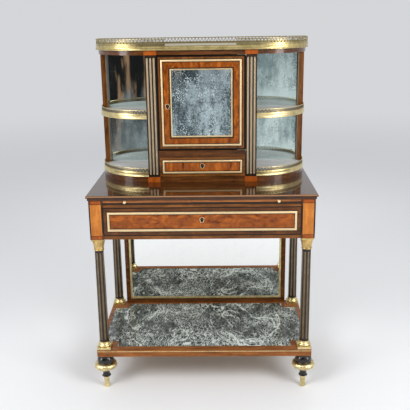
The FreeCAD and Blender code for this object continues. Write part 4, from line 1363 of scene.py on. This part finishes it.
@dataclass(frozen=True)
class Supports:
    """Columns with their mounts, the marble shelf, the mirror behind it and the feet."""

    column: tuple[float, float] = (0.368, 0.1955)
    leaf_low: float = 0.5535
    leaf_high: float = 0.5805
    leaf_foot: float = 0.0168
    leaf_head: float = 0.0206
    leaf_proud: float = 0.0022
    leaves: int = 10
    ring_seat: float = 0.029
    ring_flat: float = 0.003
    ring_reach: float = 0.042
    ring_levels: tuple[float, float] = (0.081, 0.104)
    gadroons: int = 26
    gadroon_depth: float = 0.0011
    sabot_height: float = 0.046
    sabot_waist: float = 0.0097
    toe_swell: float = 0.0013
    toe_level: float = 0.0062
    toe_length: float = 0.004
    sole_tuck: float = 0.0018
    tuck_length: float = 0.0015
    rim_flare: float = 0.0033
    rim_start: float = 0.034
    reeds: int = 12
    reed_depth: float = 0.0008
    reed_span: tuple[float, float] = (0.009, 0.036)
    reed_fade: tuple[float, float] = (0.004, 0.003)
    line_level: float = 0.1566
    line_width: float = 0.0024
    line_proud: float = 0.0005
    line_sunk: float = 0.0004
    mount_change: float = 0.4
    flute_light_change: float = 0.7

    def build(self) -> None:
        """Makes the ornament of the mounts and the shelf's line, and dresses the supports."""
        self.capital_leaves()
        self.foot_rings()
        self.foot_sabots()
        self.shelf_line()
        self.dress()

    def places(self) -> np.ndarray:
        """Where the four columns stand."""
        x, y = self.column
        return np.array([(a * x, b * y, 0.0) for a in (-1, 1) for b in (-1, 1)])

    def capital_leaves(self) -> None:
        """Upright leaves round each capital: the bell's radius plus a round of leaves that swells upward."""

        def radius(row: np.ndarray, angle: np.ndarray) -> np.ndarray:
            """Bell radius with leaves; the first and last rows turn in under the bell.

            Args:
                row: share of the bell's height; under zero and over one for the turned-in rows.
                angle: angle round the axis.

            Returns:
                The radius.
            """
            share = np.clip(row, 0.0, 1.0)
            bell = self.leaf_foot + (self.leaf_head - self.leaf_foot) * share ** 1.6
            leaf = np.abs(np.cos(self.leaves * angle / 2)) ** 0.6 * (0.35 + 0.65 * share)
            inside = (row < 0) | (row > 1)
            return np.where(inside, self.leaf_foot - 0.002, bell + self.leaf_proud * leaf)

        def height(row: np.ndarray) -> np.ndarray:
            """Height along the bell."""
            return self.leaf_low + (self.leaf_high - self.leaf_low) * np.clip(row, 0.0, 1.0)

        rows = np.concatenate(([-0.1], np.linspace(0, 1, 9), [1.1]))
        leaves = turned(radius, rows, 96, height).copies(self.places())
        leaves.piece("capital_leaves", WARM_BRASS)

    def foot_rings(self) -> None:
        """Gadrooned rings in place of the plain ones.

        The section is half an ellipse on a straight seat; slanting lobes cut into it, deepest at its middle.
        """
        low, high = self.ring_levels
        steps = 8 * self.gadroons
        shoulder = self.ring_seat + self.ring_flat
        slant, angle = np.meshgrid(np.linspace(-np.pi / 2, np.pi / 2, 15),
                                   np.linspace(0, 2 * np.pi, steps, endpoint=False), indexing="ij")
        lobe = np.abs(np.cos(self.gadroons * angle / 2 + slant * 0.6)) ** 0.7
        swell = self.ring_reach - shoulder - self.gadroon_depth * (1 - lobe)
        reach = np.pad(shoulder + swell * np.cos(slant), ((1, 1), (0, 0)), constant_values=self.ring_seat)
        level = np.pad((low + high) / 2 + (high - low) / 2 * np.sin(slant), ((1, 1), (0, 0)), mode="edge")
        around = np.pad(angle, ((1, 1), (0, 0)), mode="edge")
        points = np.stack((reach * np.cos(around), reach * np.sin(around), level), axis=-1).reshape(-1, 3)
        ring = Shape(points, grid_faces(len(reach), steps, True)).copies(self.places())
        ring.piece("gadrooned_rings", BRASS, stands_for="foot_rings")

    def foot_sabots(self) -> None:
        """Reeded sabots in place of the plain ones."""

        def radius(level: np.ndarray, angle: np.ndarray) -> np.ndarray:
            """The waist, plus a round toe, less a tuck at the sole, plus a flaring rim; reeds between.

            Args:
                level: height over the floor.
                angle: angle round the axis.

            Returns:
                The radius.
            """
            toe = self.toe_swell * np.exp(-((level - self.toe_level) / self.toe_length) ** 2)
            tuck = self.sole_tuck * np.exp(-(level / self.tuck_length) ** 2)
            share = np.clip((level - self.rim_start) / (self.sabot_height - self.rim_start), 0.0, 1.0)
            reed = 1 - np.abs(np.cos(self.reeds * angle / 2)) ** 0.7
            start = np.clip((level - self.reed_span[0]) / self.reed_fade[0], 0.0, 1.0)
            end = np.clip((self.reed_span[1] - level) / self.reed_fade[1], 0.0, 1.0)
            rim = self.rim_flare * share ** 2 * (3 - 2 * share)
            return self.sabot_waist + toe - tuck + rim - self.reed_depth * reed * (start * end)

        levels = np.append(0.0, np.linspace(0.0008, self.sabot_height, 26))
        sabot = turned(radius, levels, 72, lambda level: level).copies(self.places())
        sabot.piece("reeded_sabots", BRASS, stands_for="foot_sabots")

    def shelf_line(self) -> None:
        """A thin brass line let into the edge of the shelf."""
        edge = Rectangle.within("shelf_rails", 0.0, (0, 1))
        half, proud, sunk = self.line_width / 2, self.line_proud, self.line_sunk
        profile = np.array(((-proud, -half), (-proud, half), (sunk, half), (sunk, -half)))
        sweep(edge.path(self.line_level), UP, profile, True).piece("shelf_line", BRASS)

    def dress(self) -> None:
        """Finishes of the supports' CAD nodes."""
        dress(DARK_SHAFT, "columns")
        # Painted shade and light: the flute lining is dark below the change height and light above it.
        dress(TwoBrasses("shaded_and_lit_flute_brass", FLUTE_BRASS, LIT_FLUTE_BRASS, self.flute_light_change), "flute_liners")
        dress(TwoBrasses("mount_brasses", BRASS, WARM_BRASS, self.mount_change), "column_mounts")
        dress(BRASS, "foot_rings foot_sabots back_mirror_bead")
        dress(EBONISED, "feet")
        dress(WARM_MAHOGANY, "shelf_rails")
        dress(OAK, "shelf_board back_mirror_board")
        dress(DARK_MARBLE, "shelf_marble")
        dress(MAHOGANY, "back_mirror_frame")
        dress(CLEAR_MIRROR, "back_mirror_glass")


@dataclass(frozen=True)
class Studio:
    """Pale floor, soft lights, the studio that the mirrors see, and the camera at the photo's angle."""

    backdrop: Colour = (0.66, 0.67, 0.69)
    dim: float = 0.8
    floor: Colour = (0.90, 0.91, 0.92)
    floor_reach: float = 9.0
    floor_fade: tuple[float, float] = (2.2, 8.0)
    screen_half: float = 3.0
    screen_height: float = 2.4
    screen_place: float = -4.0
    screen_change: float = 0.62
    card_tone: Colour = (1.0, 0.98, 0.95)
    card_place: tuple[float, float] = (2.35, -1.45)
    card_half: tuple[float, float] = (0.24, 0.36)
    card_levels: tuple[float, float] = (0.2, 1.6)
    glint: float = 7.0
    lens: float = 57.95
    sensor: float = 36.0
    stand: Colour = (0.0559, -2.4070, 1.3283)
    pitch: float = math.radians(15.686)
    yaw: float = math.radians(-1.1616)
    roll: float = math.radians(-0.8181)

    def build(self) -> None:
        """Sets up floor, light and camera."""
        bpy.context.scene.view_settings.view_transform = "Standard"
        self.light_world()
        self.lay_floor()
        self.hang_screen()
        self.stand_cards()
        self.lamp("left_light", place=(-2.0, -2.3, 2.5), size=1.3, power=54.0)
        self.lamp("right_light", place=(2.1, -2.2, 2.3), size=1.3, power=54.0)
        self.lamp("floor_light", place=(0.2, 1.7, 2.4), size=1.6, power=11.0, aim=(0.1, 1.1, 0.0))
        self.place_camera()

    def light_world(self) -> None:
        """A pale surrounding for the eye, the metal and the glass, dimmer as a light on dull surfaces."""
        world = bpy.data.worlds.new("studio")
        shader = Shader("studio", world)
        path = shader.node("LightPath").socket.node
        rays = ("Camera", "Glossy", "Transmission")
        seen = sum((Wire(shader, path.outputs[f"Is {ray} Ray"]) for ray in rays), 0.0)
        strength = self.dim + seen.at_most(1.0) * (1.0 - self.dim)
        shader.end(shader.node("Background", {"Color": self.backdrop, "Strength": strength}), "OutputWorld")
        bpy.context.scene.world = world

    def sheet(self, name: str, corners: Sequence[Colour], material: bpy.types.Material) -> bpy.types.Object:
        """A flat sheet of the studio.

        Args:
            name: name of the sheet.
            corners: its four corners in order.
            material: its material.

        Returns:
            The object, marked as stage.
        """
        mesh = bpy.data.meshes.new(name)
        mesh.from_pydata(list(corners), [], [(0, 1, 2, 3)])
        mesh.materials.append(material)
        thing = bpy.data.objects.new(name, mesh)
        bpy.context.scene.collection.objects.link(thing)
        return thing

    def lay_floor(self) -> None:
        """A wide floor that fades into the backdrop far from the piece."""
        shader = Shader("studio_floor")
        x, y, _ = shader.axes
        far = shader.calc("SQRT", x * x + y * y).rise(*self.floor_fade)
        pale = shader.node("BsdfDiffuse", {"Color": self.floor})
        clear = shader.node("BsdfTransparent")
        shader.end(shader.node("MixShader", {0: far, 1: pale, 2: clear}))
        reach = self.floor_reach
        self.sheet("floor", [(-reach, -reach, 0), (reach, -reach, 0), (reach, reach, 0), (-reach, reach, 0)],
                   shader.material)

    def hang_screen(self) -> None:
        """The studio in front, dark on the left and grey on the right, for mirrors and metal to see."""
        shader = Shader("studio_front")
        cloud = shader.noise(1.8, detail=4.0, stretch=(3.6, 1.0, 0.7)) - 0.5
        place = shader.axes[0] + cloud * 1.6 - (shader.axes[2] - self.screen_change)
        warm = shader.noise(3.4, detail=4.0, stretch=(2.8, 1.0, 0.4), shift=4.0)
        dark = shader.mix(warm.rise(0.53, 0.62), (0.013, 0.012, 0.012), (0.33, 0.18, 0.105))
        grey = shader.blend(place, (-0.85, dark), (-0.30, (0.26, 0.27, 0.28)), (0.20, (0.46, 0.48, 0.49)),
                            (0.8, (0.66, 0.68, 0.68)))
        shader.end(shader.node("Emission", {"Color": grey}))
        side, high, away = self.screen_half, self.screen_height, self.screen_place
        corners = [(-side, away, 0), (side, away, 0), (side, away, high), (-side, away, high)]
        self.only_reflected(self.sheet("screen", corners, shader.material))

    def stand_cards(self) -> None:
        """A tall bright card on each side, for glints on rounded brass and polish."""
        shader = Shader("studio_card")
        shader.end(shader.node("Emission", {"Color": self.card_tone, "Strength": self.glint}))
        (out, front), (across, along), (low, high) = self.card_place, self.card_half, self.card_levels
        for side, name in ((-1, "left_card"), (1, "right_card")):
            near = (side * (out - across), front - along)
            far = (side * (out + across), front + along)
            corners = [(*near, low), (*far, low), (*far, high), (*near, high)]
            self.only_reflected(self.sheet(name, corners, shader.material))

    def only_reflected(self, thing: bpy.types.Object) -> None:
        """Leaves a sheet to metal, glass and polish: the camera and dull surfaces don't see it.

        Args:
            thing: the sheet.
        """
        thing.visible_camera = False
        thing.visible_diffuse = False
        thing.visible_shadow = False

    def lamp(self, name: str, place: Colour, size: float, power: float,
             aim: Colour = (0.0, 0.0, 0.7)) -> None:
        """A square soft light.

        Args:
            name: name of the light.
            place: where it stands.
            size: its side.
            power: its power in watts.
            aim: the point that it faces.
        """
        data = bpy.data.lights.new(name, "AREA")
        data.shape = "SQUARE"
        data.size = size
        data.energy = power
        thing = bpy.data.objects.new(name, data)
        thing.location = place
        thing.rotation_euler = (Vector(aim) - Vector(place)).to_track_quat("-Z", "Y").to_euler()
        bpy.context.scene.collection.objects.link(thing)

    def place_camera(self) -> None:
        """The camera by its stand, yaw, pitch and roll."""
        ahead = Vector((math.sin(self.yaw), math.cos(self.yaw), 0.0))
        right = Vector((math.cos(self.yaw), -math.sin(self.yaw), 0.0))
        up = Vector((0.0, 0.0, 1.0))
        ahead, up = (ahead * math.cos(self.pitch) - up * math.sin(self.pitch),
                     up * math.cos(self.pitch) + ahead * math.sin(self.pitch))
        right, up = (right * math.cos(self.roll) + up * math.sin(self.roll),
                     up * math.cos(self.roll) - right * math.sin(self.roll))
        data = bpy.data.cameras.new("camera")
        data.lens = self.lens
        data.sensor_width = self.sensor
        camera = bpy.data.objects.new("camera", data)
        turn = Matrix((right, up, -ahead)).transposed().to_4x4()
        camera.matrix_world = Matrix.Translation(self.stand) @ turn
        bpy.context.scene.collection.objects.link(camera)
        bpy.context.scene.camera = camera


def main() -> None:
    """Builds the parts of the piece in order, then the studio, logging each part once it is built."""
    logging.basicConfig(level=logging.INFO, format="%(name)s: %(message)s")
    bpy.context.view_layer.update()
    for part in (Supports(), Frieze(), Gradin(), Cabinet(), Studio()):
        part.build()
        log.info("built %s", type(part).__name__)


if __name__ == "__main__":
    main()
